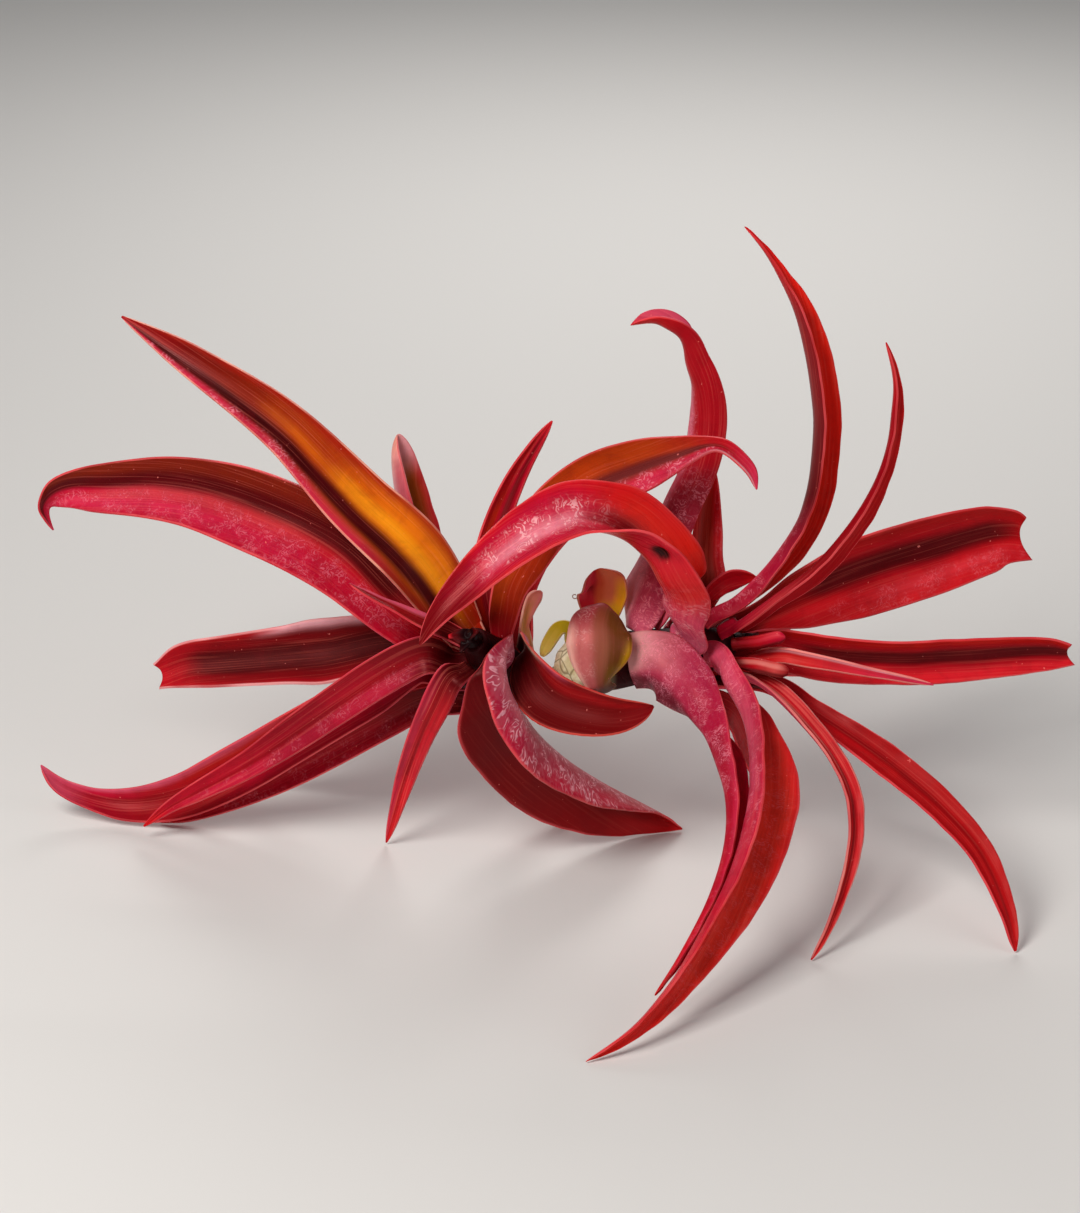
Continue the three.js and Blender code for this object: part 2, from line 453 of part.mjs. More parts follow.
// The leaves of the right rosette, which lies on its side with its base to the left
const rightLeaves = {
  right_overarching_leaf: {
    finish: 'crimson', climb: 0.6, bearing: 40, splay: 62, root: 7.6, sheath: 3, fold: 1.1,
    stations: [
      [43.8, -3, 8, 9.8, 106, 1.05],
      [44.5, 2.6, 12.6, 10, 90, 1.25],
      [43, 9.4, 17, 10.8, 77, 1.22],
      [37.2, 18.4, 21, 10.4, 70, 1.12],
      [28, 25.8, 24, 10.6, 56, 0.95],
      [15, 28, 27, 10.2, 40, 0.62],
      [6, 25.8, 29, 10, 34, 0.45],
      [-9, 16.4, 31, 8.2, 30, 0.4],
      [-22.5, 4, 31, 5.6, 25, 0.4],
      [-30.9, -5.4, 30, 3, 20, 0.4],
      [-35.9, -14, 28, 0.5, 20, 0.4],
    ],
  },
  right_crook_leaf: {
    finish: 'crimson', climb: 0.35, bearing: 84, splay: 70, root: 7.4, sheath: 0, fold: 0.5,
    stations: [
      [31.8, 0.5, -2, 8.6, 146, 0.55],
      [36.6, 12.5, -4, 7, 145],
      [43.2, 28.6, -4.5, 6.1, 152],
      [48.6, 40.5, -3.5, 6, 152],
      [50.4, 49.5, -2, 6.4, 150],
      [51, 57.7, -1, 6.2, 145, 0.6],
      [50.2, 65.2, 0, 5.6, 136, 0.7],
      [47.4, 72.8, 1, 5, 122, 0.8],
      [43.4, 80.9, 2, 4.9, 84, 0.9],
      [35.6, 85.3, 3, 3.8, 68, 0.9],
      [27.2, 82.3, 3, 0.5, 62],
    ],
  },
  right_base_scale: {
    finish: 'crimson', climb: 0.52, bearing: 95, splay: 45, root: 4.6, sheath: 0, fold: 0.4,
    stations: [
      [37.2, -3, -4, 5.2, 114],
      [40, 2, -5, 4.4, 130],
      [42, 7.5, -6, 0.5, 140],
    ],
  },
  right_back_leaf: {
    finish: 'scarlet', climb: 0.6, bearing: 140, root: 3.5, fold: 0.4,
    stations: [
      [50, 1, -13, 4.6, 0],
      [50.4, 12, -15, 4.8, 0],
      [50.7, 22.5, -15.5, 4.2, 0],
      [51.6, 31.5, -15, 2.6, 0],
      [52.8, 39.6, -13, 0.6, 0],
    ],
  },
  right_tall_claw: {
    finish: 'scarlet', climb: 0.82, bearing: 75, splay: 50, root: 3.2, fold: 1,
    stations: [
      [58, -2, -4, 4.2, 95, 0.8],
      [67, 5, -6, 4.6, 80, 0.9],
      [74.2, 12, -7, 5, 66, 1],
      [81, 22, -7, 5.2, 60, 1],
      [84.5, 32, -6, 5.4, 60, 1.05],
      [86.5, 47, -4, 5.6, 60, 1.05],
      [86.6, 57, -2, 5.6, 60, 1.05],
      [84.4, 72, 0, 5.4, 60, 1.05],
      [79.8, 87, 2, 4.2, 60, 1],
      [73.8, 97, 3, 2.4, 60, 0.9],
      [68, 105.5, 3.5, 1.3, 60, 0.7],
      [61.5, 112.2, 4, 0.5, 60, 0.5],
    ],
  },
  right_short_claw: {
    finish: 'scarlet', climb: 0.9, bearing: 35, splay: 45, root: 2.6, fold: 0.9,
    stations: [
      [61, -7.5, 1, 2.8, 80],
      [73, 0.5, 2, 3.2, 70],
      [82, 6.5, 3, 3.6, 62],
      [90.5, 15, 4, 3.8, 60],
      [99, 27, 5, 3.6, 60],
      [103.7, 37, 5.5, 3, 60],
      [106.6, 47, 6, 2.6, 60],
      [107.7, 57, 6, 2.4, 60],
      [107.3, 67, 6, 1.5, 60],
      [104, 77.6, 5, 0.5, 60],
    ],
  },
  right_upper_blade: {
    finish: 'scarlet', climb: 0.88, bearing: 150, splay: 32, root: 3.2, fold: 0.4,
    notch: [2.4, 1.8],
    stations: [
      [66.5, -5, -14, 4.5, 5],
      [78, -0.4, -15.5, 8.6, 10],
      [96, 6.4, -17, 12, 12],
      [117, 13, -18, 12, 12],
      [133.5, 17.8, -19.5, 10.4, 12],
      [140.5, 19, -20.5, 8.4, 12],
      [146.6, 18.4, -21, 6.3, 12],
    ],
  },
  right_level_blade: {
    finish: 'scarlet', climb: 0.72, bearing: 212, splay: 35, root: 3.2, fold: 0.5,
    notch: [1.5, 0.6],
    stations: [
      [65.6, -13.6, -13, 4.6, 10],
      [75.9, -15.6, -11, 6.6, 15],
      [87.9, -17.8, -9, 7.2, 20],
      [106.7, -18.9, -7, 6.8, 20],
      [122.1, -18.4, -6, 6.9, 20],
      [139.3, -17.1, -5, 6.2, 20],
      [152.1, -16.3, -5, 5.2, 20],
      [160, -16.4, -5, 3.1, 20],
    ],
  },
  right_thin_leaf: {
    finish: 'crimson', climb: 0.95, bearing: 256, splay: 25, root: 1.8, sheath: 3, fold: 0.5,
    stations: [
      [69.9, -16.5, -1, 2.3, 10],
      [79.3, -17.7, 3, 2.2, 10],
      [96.4, -21.1, 5, 1.5, 10],
      [109.3, -23.6, 4, 0.9, 10],
      [118.7, -25.5, 3, 0.5, 10],
    ],
  },
  right_curl: {
    finish: 'crimson', climb: 0.97, bearing: 352, splay: 30, root: 1.8, sheath: 2, fold: 0.4,
    stations: [
      [66, -12.6, 4, 1.9, 190],
      [71.8, -11.3, 6.6, 1.8, 190],
      [74, -11.3, 7.2, 0.9, 190],
    ],
  },
  right_stub: {
    finish: 'crimson', climb: 0.92, bearing: 300, splay: 35, root: 2, sheath: 2, fold: 0.4,
    stations: [
      [65.6, -19.7, 3.4, 2, 190],
      [70.7, -20.9, 4.6, 2, 190],
      [75, -21.7, 5.2, 1.9, 190],
    ],
  },
  right_low_scale: {
    finish: 'scarlet', climb: 0.72, bearing: 105, splay: 50, root: 2.6, sheath: 3, fold: 0.4,
    stations: [
      [53.6, 3.6, -7, 2.8, 20],
      [57.9, 5.9, -9, 3.2, 20],
      [62.1, 6.7, -10.5, 2, 20],
      [65.4, 6.9, -11, 0.6, 20],
    ],
  },
  right_sheath_leaf: {
    finish: 'crimson', climb: 0.28, bearing: 352, splay: 28, root: 8.2, sheath: 3.5, fold: 0.6,
    stations: [
      [36.6, -19.6, 12.2, 9.8, 180, 0.6],
      [44.6, -25.6, 14, 8.8, 198, 0.65],
      [50.8, -33.6, 15.5, 7.4, 238, 0.85],
      [54.2, -41, 18.6, 6.9, 270, 1],
      [57.9, -49.8, 23, 6.2, 286, 1.05],
      [59.5, -60, 29, 4.9, 290, 1],
      [58.7, -70.5, 34.5, 3.8, 290, 1],
      [56, -81, 40.5, 2.9, 290, 1],
      [50.6, -93.9, 48, 2.2, 290, 0.9],
      [41.9, -108.9, 57, 1.5, 290, 0.8],
      [34.6, -119, 63, 0.5, 290, 0.6],
    ],
  },
  right_front_leaf: {
    finish: 'crimson', climb: 0.78, bearing: 338, splay: 50, root: 4, sheath: 3.5, fold: 0.8,
    stations: [
      [59, -24.6, 10, 5, 250, 0.9],
      [66.4, -38.1, 17, 5.8, 288, 1.2],
      [70.8, -54.2, 26, 8.9, 308, 1.1],
      [68.2, -70.3, 35, 8.9, 310, 1.1],
      [62.1, -86.4, 44, 8, 312, 1],
      [52.4, -102.4, 54, 6.3, 314, 0.9],
      [40.5, -118.5, 64, 4.2, 315, 0.8],
      [28, -130.5, 71.5, 2.3, 315, 0.7],
      [13.8, -139, 75.6, 0.5, 315, 0.6],
    ],
  },
  right_ribbon_leaf: {
    finish: 'crimson', climb: 0.86, bearing: 275, splay: 50, root: 2.8, fold: 0.8,
    stations: [
      [68.6, -24.8, -1, 3.2, 300],
      [80.4, -35.8, 4, 3.1, 315],
      [88.7, -46.2, 7.5, 2.9, 322],
      [93.8, -56.5, 10, 3, 325],
      [95.1, -64.6, 12, 2.9, 325],
      [94.7, -73.8, 14.5, 2.6, 325],
      [92, -85.4, 18, 2.2, 325],
      [89.5, -92.3, 20, 1.8, 325],
      [85.6, -101.5, 22.5, 1.1, 325],
      [81.6, -108.5, 24, 0.5, 325],
    ],
  },
  right_outer_leaf: {
    finish: 'scarlet', climb: 0.66, bearing: 250, splay: 55, root: 3.5, fold: 0.5,
    stations: [
      [69, -25, -9, 3.8, 320],
      [82.2, -33.2, -7, 4.2, 325],
      [93.7, -40.6, -3.5, 4.9, 328],
      [105.2, -48.7, 0, 5.5, 330],
      [121.4, -62.5, 6, 5.2, 330],
      [132.9, -76.2, 11, 4.5, 330],
      [140, -92.3, 16, 3.1, 330],
      [141.9, -99.2, 18, 2.1, 330],
      [143, -105.8, 19.6, 0.8, 330],
    ],
  },
  right_rear_leaf: {
    finish: 'scarlet', climb: 0.5, bearing: 235, splay: 75, root: 3.5, fold: 0.4,
    stations: [
      [57, -33, -22, 5, 330],
      [64, -44, -35, 5.5, 330],
      [69, -54, -46, 4.8, 330],
      [72, -61, -53, 3, 330],
      [74, -66.5, -54.6, 0.5, 330],
    ],
  },
  right_far_leaf: {
    finish: 'crimson', climb: 0.5, bearing: 172, splay: 65, root: 3.5, fold: 0.5,
    stations: [
      [66, -7.5, -27, 4.8, 0],
      [80, 0.6, -37, 6.4, 0],
      [98, 7, -48, 6, 0],
      [115, 12, -56, 4, 0],
      [128, 15.5, -61, 0.5, 0],
    ],
  },
  right_under_leaf: {
    finish: 'scarlet', climb: 0.42, bearing: 205, splay: 75, root: 3.2, fold: 0.5,
    stations: [
      [58, -18.5, -28, 4.4, 0],
      [76, -17.6, -40, 5.2, 0],
      [94, -18.4, -50, 4.6, 0],
      [110, -18.8, -57, 0.5, 0],
    ],
  },
  base_hood_bract: {
    finish: 'bract', climb: 0.14, bearing: 305, splay: 0, root: 2.8, sheath: 0, fold: 0.3,
    stations: [
      [18.2, -25.4, 10, 4, 180],
      [17.9, -20, 14, 8, 180],
      [18.2, -13.6, 15.5, 9.7, 180],
      [18, -8, 14, 9, 180],
      [18.8, -3.8, 11.5, 6.6, 180],
      [19.7, -0.8, 9, 3.2, 180],
    ],
  },
  base_folded_bract: {
    finish: 'amber', climb: 0.14, bearing: 122, splay: 0, root: 3.6, sheath: 0, fold: 0.5,
    stations: [
      [18.4, -3.8, -3, 5.4, 8],
      [18.9, 1.2, -1, 7.2, 8],
      [19, 5, 0.8, 7.2, 5],
      [18, 7.8, 2, 4.6, 0],
      [17.4, 9.4, 2.4, 2.4, 0],
    ],
  },
  base_green_bract: {
    finish: 'bract', climb: 0.0, bearing: 132, splay: 0, root: 1.8, sheath: 0, fold: 0.3,
    stations: [
      [9, -8.6, -6, 1.9, 15],
      [6.4, -8.3, -5.8, 2.1, 18],
      [3.4, -12, -5.7, 2.1, 20],
      [0.9, -17, -5.6, 1.4, 20],
    ],
  },
};

for (const [name, { finish, ...spec }] of Object.entries(leftLeaves)) {
  addMesh(name, bladeGeometry(leftArm, spec), finish);
}
for (const [name, { finish, ...spec }] of Object.entries(rightLeaves)) {
  addMesh(name, bladeGeometry(rightArm, spec), finish);
}

// The forked stem: two tapered arms and the short runner that joins them, grown as one piece
const wasm = await Module();
wasm.setup();

function toSolid(geometry) {
  const bare = geometry.clone();
  bare.deleteAttribute('normal');
  bare.deleteAttribute('uv');
  const merged = mergeVertices(bare, 1e-4);
  return new wasm.Manifold(new wasm.Mesh({
    numProp: 3,
    vertProperties: new Float32Array(merged.getAttribute('position').array),
    triVerts: new Uint32Array(merged.getIndex().array),
  }));
}

function toGeometry(solid) {
  const mesh = solid.getMesh();
  const geometry = new THREE.BufferGeometry();
  geometry.setAttribute('position', new THREE.BufferAttribute(mesh.vertProperties, 3));
  geometry.setIndex(new THREE.BufferAttribute(mesh.triVerts, 1));
  return geometry;
}

// An arm is turned from a profile: a rounded base, a slow taper and a flat growing point
function armSolid(arm) {
  const length = arm.apex.distanceTo(arm.base);
  const profile = [new THREE.Vector2(0, -0.9 * arm.baseRadius)];
  profile.push(new THREE.Vector2(0.6 * arm.baseRadius, -0.65 * arm.baseRadius));
  profile.push(new THREE.Vector2(0.9 * arm.baseRadius, -0.3 * arm.baseRadius));
  for (const climb of [0, 0.25, 0.5, 0.75, 1]) {
    profile.push(new THREE.Vector2(armRadius(arm, climb), climb * length));
  }
  profile.push(new THREE.Vector2(0, length));
  const lathe = new THREE.LatheGeometry(profile, 16);
  lathe.applyQuaternion(new THREE.Quaternion().setFromUnitVectors(
    new THREE.Vector3(0, 1, 0), armAxis(arm)));
  lathe.translate(arm.base.x, arm.base.y, arm.base.z);
  return toSolid(lathe);
}

const RUNNER_RADIUS = 4;
const runnerRoute = new THREE.CatmullRomCurve3([
  placeFromShowSide(12, -20, -1),
  placeFromShowSide(2, -25, -12),
  placeFromShowSide(-8, -24, -21),
]);
const runnerSection = new THREE.Shape().absarc(0, 0, RUNNER_RADIUS, 0, 2 * Math.PI);
const runner = new THREE.ExtrudeGeometry(runnerSection, {
  steps: 6, curveSegments: 8, extrudePath: runnerRoute,
});
const stem = armSolid(leftArm).add(armSolid(rightArm)).add(toSolid(runner));
addMesh('forked_stem', toGeometry(stem), 'stem');

// The heart of a rosette: a small bud on the growing point, and the young blades that grow out
// of it. Each blade is given by its tip, seen from the show side, and its half width.
function heartGeometry(arm, blades) {
  const axis = armAxis(arm);
  const seat = arm.apex.clone().addScaledVector(axis, SEAT_GAP);
  const radius = 0.75 * arm.apexRadius;
  const bud = new THREE.LatheGeometry([
    new THREE.Vector2(0, 0),
    new THREE.Vector2(radius, 0),
    new THREE.Vector2(0.8 * radius, 0.8 * radius),
    new THREE.Vector2(0, 1.5 * radius),
  ], 12);
  bud.applyQuaternion(new THREE.Quaternion().setFromUnitVectors(new THREE.Vector3(0, 1, 0), axis));
  bud.translate(seat.x, seat.y, seat.z);
  let heart = toSolid(bud);
  for (const [across, up, toward, half] of blades) {
    const tip = placeFromShowSide(across, up, toward);
    const foot = seat.clone().addScaledVector(axis, 0.4 * radius);
    const out = tip.clone().sub(foot);
    out.addScaledVector(axis, -out.dot(axis)).normalize();
    const middle = foot.clone().lerp(tip, 0.5).addScaledVector(axis, 0.12 * foot.distanceTo(tip));
    const route = new THREE.QuadraticBezierCurve3(foot, middle, tip);
    const rings = [];
    for (let r = 0; r <= HEART_RINGS; r++) {
      const along = r / HEART_RINGS;
      const tangent = route.getTangent(along);
      const face = axis.clone().addScaledVector(out, -0.2);
      face.addScaledVector(tangent, -face.dot(tangent)).normalize();
      const side = tangent.clone().cross(face);
      const width = Math.max(TIP_HALF_WIDTH, half * Math.cos(Math.PI / 2 * along ** 1.6));
      const section = bladeSection(width, 0.5, 1);
      rings.push(section.map(([x, y]) => route.getPoint(along)
        .addScaledVector(side, x).addScaledVector(face, y)));
    }
    heart = heart.add(toSolid(skin(rings)));
  }
  return toGeometry(heart);
}

const leftBlades = [
  [-27.2, -11, 9, 2.4],
  [-18.4, -9.4, 11.5, 2.2],
  [-23.4, -15.6, 10, 1.8],
];
const rightBlades = [
  [68, -11.6, -4.6, 2],
  [66, -9.8, -8.5, 1.6],
  [65.6, -14, -7.6, 1.6],
];
addMesh('left_heart', heartGeometry(leftArm, leftBlades), 'crimson');
addMesh('right_heart', heartGeometry(rightArm, rightBlades), 'scarlet');

// The part's origin stands under the middle of its bounding box, on the surface it lies on
const box = new THREE.Box3().setFromObject(clump);
clump.position.set(-(box.min.x + box.max.x) / 2, -(box.min.y + box.max.y) / 2, 0);
clump.updateMatrixWorld(true);

export default clump;
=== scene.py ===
# %% [markdown]
# A red air plant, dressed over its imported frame
#
# The plant is a clump of two rosettes of long leaves, joined by a short forked stem. The frame
# already holds every leaf as a thin faceted solid, in its right place and size. This lesson makes a
# finer copy of each leaf over it, with the same outline, and then gives it the colours, the lines
# and the pale film of the living one.

# %% Load the frame
import math

import bmesh
import bpy
import numpy as np
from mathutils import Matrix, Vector, noise
from mathutils.bvhtree import BVHTree


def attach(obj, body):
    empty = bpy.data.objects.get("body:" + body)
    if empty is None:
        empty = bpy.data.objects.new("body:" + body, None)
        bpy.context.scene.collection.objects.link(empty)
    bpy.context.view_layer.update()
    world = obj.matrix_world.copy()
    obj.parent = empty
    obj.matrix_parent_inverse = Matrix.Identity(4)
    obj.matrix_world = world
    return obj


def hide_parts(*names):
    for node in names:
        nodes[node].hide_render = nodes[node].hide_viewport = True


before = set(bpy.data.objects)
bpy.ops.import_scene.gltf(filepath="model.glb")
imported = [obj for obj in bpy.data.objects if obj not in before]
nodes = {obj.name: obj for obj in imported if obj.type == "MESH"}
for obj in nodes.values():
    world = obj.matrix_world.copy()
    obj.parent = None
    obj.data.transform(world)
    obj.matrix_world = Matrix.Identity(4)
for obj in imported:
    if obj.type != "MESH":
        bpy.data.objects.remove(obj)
bpy.context.view_layer.update()

# %% [markdown]
# The camera looks down on the clump at 25 degrees from 1.2 m away. From there a pixel of the
# picture, which is 1080 by 1213, is 0.3 mm on the plant, and the lens follows from that.

# %% Place the camera
PICTURE_HEIGHT = 1213
PIXEL = 0.0003
CAMERA_DISTANCE = 1.2
CAMERA_TILT = math.radians(25)
SENSOR = 36
AIM = Vector((-0.00239, 0.02214, 0.08423))

bpy.ops.object.select_all(action="DESELECT")
bpy.ops.object.camera_add(
    location=AIM + CAMERA_DISTANCE * Vector((0, -math.cos(CAMERA_TILT), math.sin(CAMERA_TILT))),
    rotation=(math.radians(90) - CAMERA_TILT, 0, 0))
camera = bpy.context.object
camera.name = "camera"
camera.data.sensor_width = SENSOR
camera.data.lens = SENSOR * CAMERA_DISTANCE / (PICTURE_HEIGHT * PIXEL)
bpy.context.scene.camera = camera
print("camera: lens", round(camera.data.lens, 1), "mm")

# %% [markdown]
# A copy of a solid arrives as loose triangles, so its doubled points are merged first. The copy is
# a new object at the origin, like the solid's own, and the solid itself isn't changed.

# %% Copy a solid
MERGE_DISTANCE = 1e-5


def select_only(piece):
    bpy.ops.object.select_all(action="DESELECT")
    piece.select_set(True)
    bpy.context.view_layer.objects.active = piece


def copy_of(node):
    """A merged copy of a node's solid, which then stands for it."""
    piece = bpy.data.objects.new(node + "_skin", nodes[node].data.copy())
    bpy.context.scene.collection.objects.link(piece)
    select_only(piece)
    bpy.ops.object.mode_set(mode="EDIT")
    bpy.ops.mesh.select_all(action="SELECT")
    bpy.ops.mesh.remove_doubles(threshold=MERGE_DISTANCE)
    bpy.ops.object.mode_set(mode="OBJECT")
    piece.data.materials.clear()
    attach(piece, "root")
    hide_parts(node)
    return piece


triangles = [len(node.data.polygons) for node in nodes.values()]
print("solids: from", min(triangles), "to", max(triangles), "triangles each")

# %% [markdown]
# Every blade is a row of sections of ten points, five over its inner face and five back over its
# outer one. A subdivision surface flows well only over the long rectangles between such sections,
# so they are found again in the merged triangles, by walking over their edges. A section is walked
# round by taking next a neighbour that also shares a point of the section beside it. Each ring is
# then turned to be in step with the ring before.

# %% Walk over the edges
AROUND = 10
FACE = AROUND // 2


def edges_away(near, seeds):
    """How many edges each point is away from the seeds."""
    away = dict.fromkeys(seeds, 0)
    front = set(seeds)
    steps = 0
    while front:
        steps += 1
        front = {w for v in front for w in near[v]} - set(away)
        away.update(dict.fromkeys(front, steps))
    return away


def walk_round(section, beside, near, first, second):
    """A section's points in order. Neighbours on its outline share a point of the next section."""
    order = [first, second]
    while len(order) < AROUND:
        here = order[-1]
        order.append(next(v for v in near[here] & section
                          if v not in order and near[v] & near[here] & beside))
    return order


def in_step(ring, before, near):
    """A ring turned so that each point follows on from the same one of the ring before."""
    def turned(start, way):
        return [ring[(start + way * i) % AROUND] for i in range(AROUND)]

    def links(points):
        return sum(p in near[b] for p, b in zip(points, before))

    choices = [(links(turned(s, way)) + links(turned(s + way, way)), s, way)
               for s in range(AROUND) for way in (1, -1)]
    return turned(*max(choices)[1:])


print("a section:", AROUND, "points,", FACE, "on each face")

# %% [markdown]
# The two ends of a blade have its corners, which are the points with the fewest edges, and the end
# that is nearer to the stem is the root. A point's section is the number of edges to it from an
# end, counted from the far end, where every point of a section is the same number away.

# %% Find the sections of a blade
CORNER_EDGES = 4
stem = nodes["forked_stem"].data
stem_surface = BVHTree.FromPolygons([vertex.co for vertex in stem.vertices],
                                    [polygon.vertices for polygon in stem.polygons])


def off_stem(point):
    """How far a point is from the stem."""
    *_, distance = stem_surface.find_nearest(point)
    return distance


def sections_of(piece):
    """The points of a blade, section by section from the root: an array of n by 10 by 3."""
    shape = bmesh.new()
    shape.from_mesh(piece.data)
    near = [{edge.other_vert(v).index for edge in v.link_edges} for v in shape.verts]
    shape.free()
    place = np.array([v.co for v in piece.data.vertices])

    corners = [v for v in range(len(near)) if len(near[v]) == CORNER_EDGES]
    corners.sort(key=edges_away(near, corners[:1]).get)
    ends = sorted([corners[:2], corners[2:]], key=lambda pair: min(
        off_stem(Vector(place[v])) for v in pair))
    seeds = [pair + [min(near[v], key=lambda w: len(near[w])) for v in pair] for pair in ends]
    from_root, from_tip = [edges_away(near, pair) for pair in seeds]
    last = from_root[ends[1][0]]
    count = [from_root[v] if from_root[v] >= from_tip[v] else last - from_tip[v]
             for v in range(len(near))]
    rows = [{v for v in range(len(near)) if count[v] == r} for r in range(last + 1)]

    order = [walk_round(rows[0], rows[1], near, seeds[0][0], seeds[0][2])]
    for r in range(1, last + 1):
        beside = rows[r + 1] if r < last else rows[r - 1]
        first = min(rows[r])
        second = min(v for v in near[first] & rows[r] if near[v] & near[first] & beside)
        order.append(in_step(walk_round(rows[r], beside, near, first, second), order[-1], near))
    return inner_face_first(np.roll(place[np.array(order)], FACE - 1, axis=1))


def inner_face_first(points):
    """The sections turned so that the hollow face comes first."""
    inner, outer = points[:, FACE // 2], points[:, FACE + FACE // 2]
    margins = points[:, [0, FACE - 1, FACE, AROUND - 1]].mean(axis=1)
    hollow = ((margins - (inner + outer) / 2) * (inner - outer)).sum()
    return points if hollow > 0 else np.roll(points, FACE, axis=1)


print("stem:", len(stem.polygons), "triangles to measure from")

# %% [markdown]
# A subdivision surface passes inside its points, which would make every leaf narrower than its
# solid. So the points are first moved out by as much as the surface will pull them in. Along each
# face the surface takes a sixth of both neighbours and four sixths of the point itself, so the
# points that land it on the solid come from one small set of equations for each direction.

# %% Move the points out
NEIGHBOUR = 1 / 6


def moved_out(points):
    """Control points whose subdivided surface passes through the given ones, along axis 0."""
    n = len(points)
    pull = np.eye(n)
    for i in range(1, n - 1):
        pull[i, i - 1:i + 2] = NEIGHBOUR, 1 - 2 * NEIGHBOUR, NEIGHBOUR
    return np.linalg.solve(pull, points.reshape(n, -1)).reshape(points.shape)


moved = moved_out(np.array([0.0, 1.0, 0.0]))[1]
print("a point 1 high between two at 0 moves out to", round(float(moved), 2))

# %% [markdown]
# The finish of a leaf has to follow its blade. So every point gets attributes that say where it
# lies: the share of the length and the distance from the root, the share of the breadth and the
# distance from the midrib, the face, and the way that the inner face looks.

# %% Give a blade its attributes
def write_attribute(mesh, name, kind, values):
    layer = mesh.attributes.new(name, kind, "POINT")
    layer.data.foreach_set("vector" if kind == "FLOAT_VECTOR" else "value", np.ravel(values))


def read_attribute(mesh, name, width=1):
    values = np.zeros(len(mesh.vertices) * width, np.float32)
    mesh.attributes[name].data.foreach_get("value" if width == 1 else "vector", values)
    return values if width == 1 else values.reshape(-1, width)


def place_on_blade(mesh, points):
    """Writes down for every point of the sections where on the blade it lies."""
    n = len(points)
    middle = points.mean(axis=1)
    run = np.concatenate([[0], np.cumsum(np.linalg.norm(np.diff(middle, axis=0), axis=1))])
    width = np.linalg.norm(points[:, FACE - 1] - points[:, 0], axis=1)
    across = np.concatenate([np.linspace(-1, 1, FACE), np.linspace(1, -1, FACE)])
    lift = points[:, FACE // 2] - points[:, FACE + FACE // 2]
    lift /= np.linalg.norm(lift, axis=1, keepdims=True)
    write_attribute(mesh, "along", "FLOAT", np.repeat(run / run[-1], AROUND))
    write_attribute(mesh, "run", "FLOAT", np.repeat(run, AROUND))
    write_attribute(mesh, "across", "FLOAT", np.tile(across, n))
    write_attribute(mesh, "over", "FLOAT", np.outer(width / 2, across))
    write_attribute(mesh, "inside", "FLOAT", np.tile(np.arange(AROUND) < FACE, n).astype(float))
    write_attribute(mesh, "lift", "FLOAT_VECTOR", np.repeat(lift, AROUND, axis=0))


print("attributes of a blade: along, run, across, over, inside, lift")

# %% [markdown]
# The refined blade is a new cage of rectangles through the moved points. Its margins and its root
# are creased, so that they stay sharp. A pointed leaf has its last section pinched, and a blunt or
# broken one keeps it whole and creased. The subdivision surface is then applied, as in the
# modifier tab.

# %% Refine a blade
SHARP = 1.0
TIP_PINCH = 0.45


def blade_faces(n):
    sides = [(r * AROUND + i, r * AROUND + (i + 1) % AROUND,
              (r + 1) * AROUND + (i + 1) % AROUND, (r + 1) * AROUND + i)
             for r in range(n - 1) for i in range(AROUND)]
    ends = [(start + i, start + AROUND - 1 - i, start + AROUND - 2 - i, start + i + 1)
            for start in (0, (n - 1) * AROUND) for i in range(FACE - 1)]
    return sides + ends


def crease_margins(mesh, n, blunt):
    crease = mesh.attributes.new("crease_edge", "FLOAT", "EDGE")
    corner = {0, FACE - 1, FACE, AROUND - 1}
    for edge in mesh.edges:
        a, b = sorted(edge.vertices)
        margin = b - a == AROUND and a % AROUND in corner
        end = (b < AROUND or blunt and a >= (n - 1) * AROUND) and b - a in (1, AROUND - 1)
        crease.data[edge.index].value = SHARP if margin or end else 0


def refine_blade(piece, detail, blunt=False):
    """Gives a blade's copy its smooth surface, and the attributes that its finish follows."""
    points = sections_of(piece)
    if not blunt:
        points[-1] += TIP_PINCH * (points[-1].mean(axis=0) - points[-1])
    faces = [moved_out(points[:, side].swapaxes(0, 1)).swapaxes(0, 1)
             for side in (slice(0, FACE), slice(FACE, AROUND))]
    controls = moved_out(np.concatenate(faces, axis=1)).reshape(-1, 3)

    mesh = bpy.data.meshes.new(piece.name)
    mesh.from_pydata(controls, [], blade_faces(len(points)))
    place_on_blade(mesh, points)
    crease_margins(mesh, len(points), blunt)
    piece.data = mesh

    select_only(piece)
    bpy.ops.object.mode_set(mode="EDIT")
    bpy.ops.mesh.select_all(action="SELECT")
    bpy.ops.mesh.normals_make_consistent(inside=False)
    bpy.ops.object.mode_set(mode="OBJECT")
    smooth = piece.modifiers.new("smooth", "SUBSURF")
    smooth.levels = smooth.render_levels = detail
    bpy.ops.object.modifier_apply(modifier=smooth.name)
    bpy.ops.object.shade_smooth()
    return piece


print("tips are pinched by", TIP_PINCH, "of their width")

# %% [markdown]
# A living leaf is never quite even. Its blade undulates gently, and its margins waver on a smaller
# scale. Both faces are moved the same way, so the leaf keeps its thickness. The waves come from
# noise read along and across the blade, which gives every leaf its own, and the same on each run.

# %% Wave a blade
SWELL = 0.00022
SWELL_LENGTH = 0.016
SWELL_TURNS_ACROSS = 0.8
WAVER = 0.00030
WAVER_LENGTH = 0.0055
MARGIN_START = 0.55
FREE_FROM = 0.12
SIDES_APART = 3
NEXT_NOISE = 7


def ramp_between(values, low, high):
    t = np.clip((values - low) / (high - low), 0, 1)
    return t * t * (3 - 2 * t)


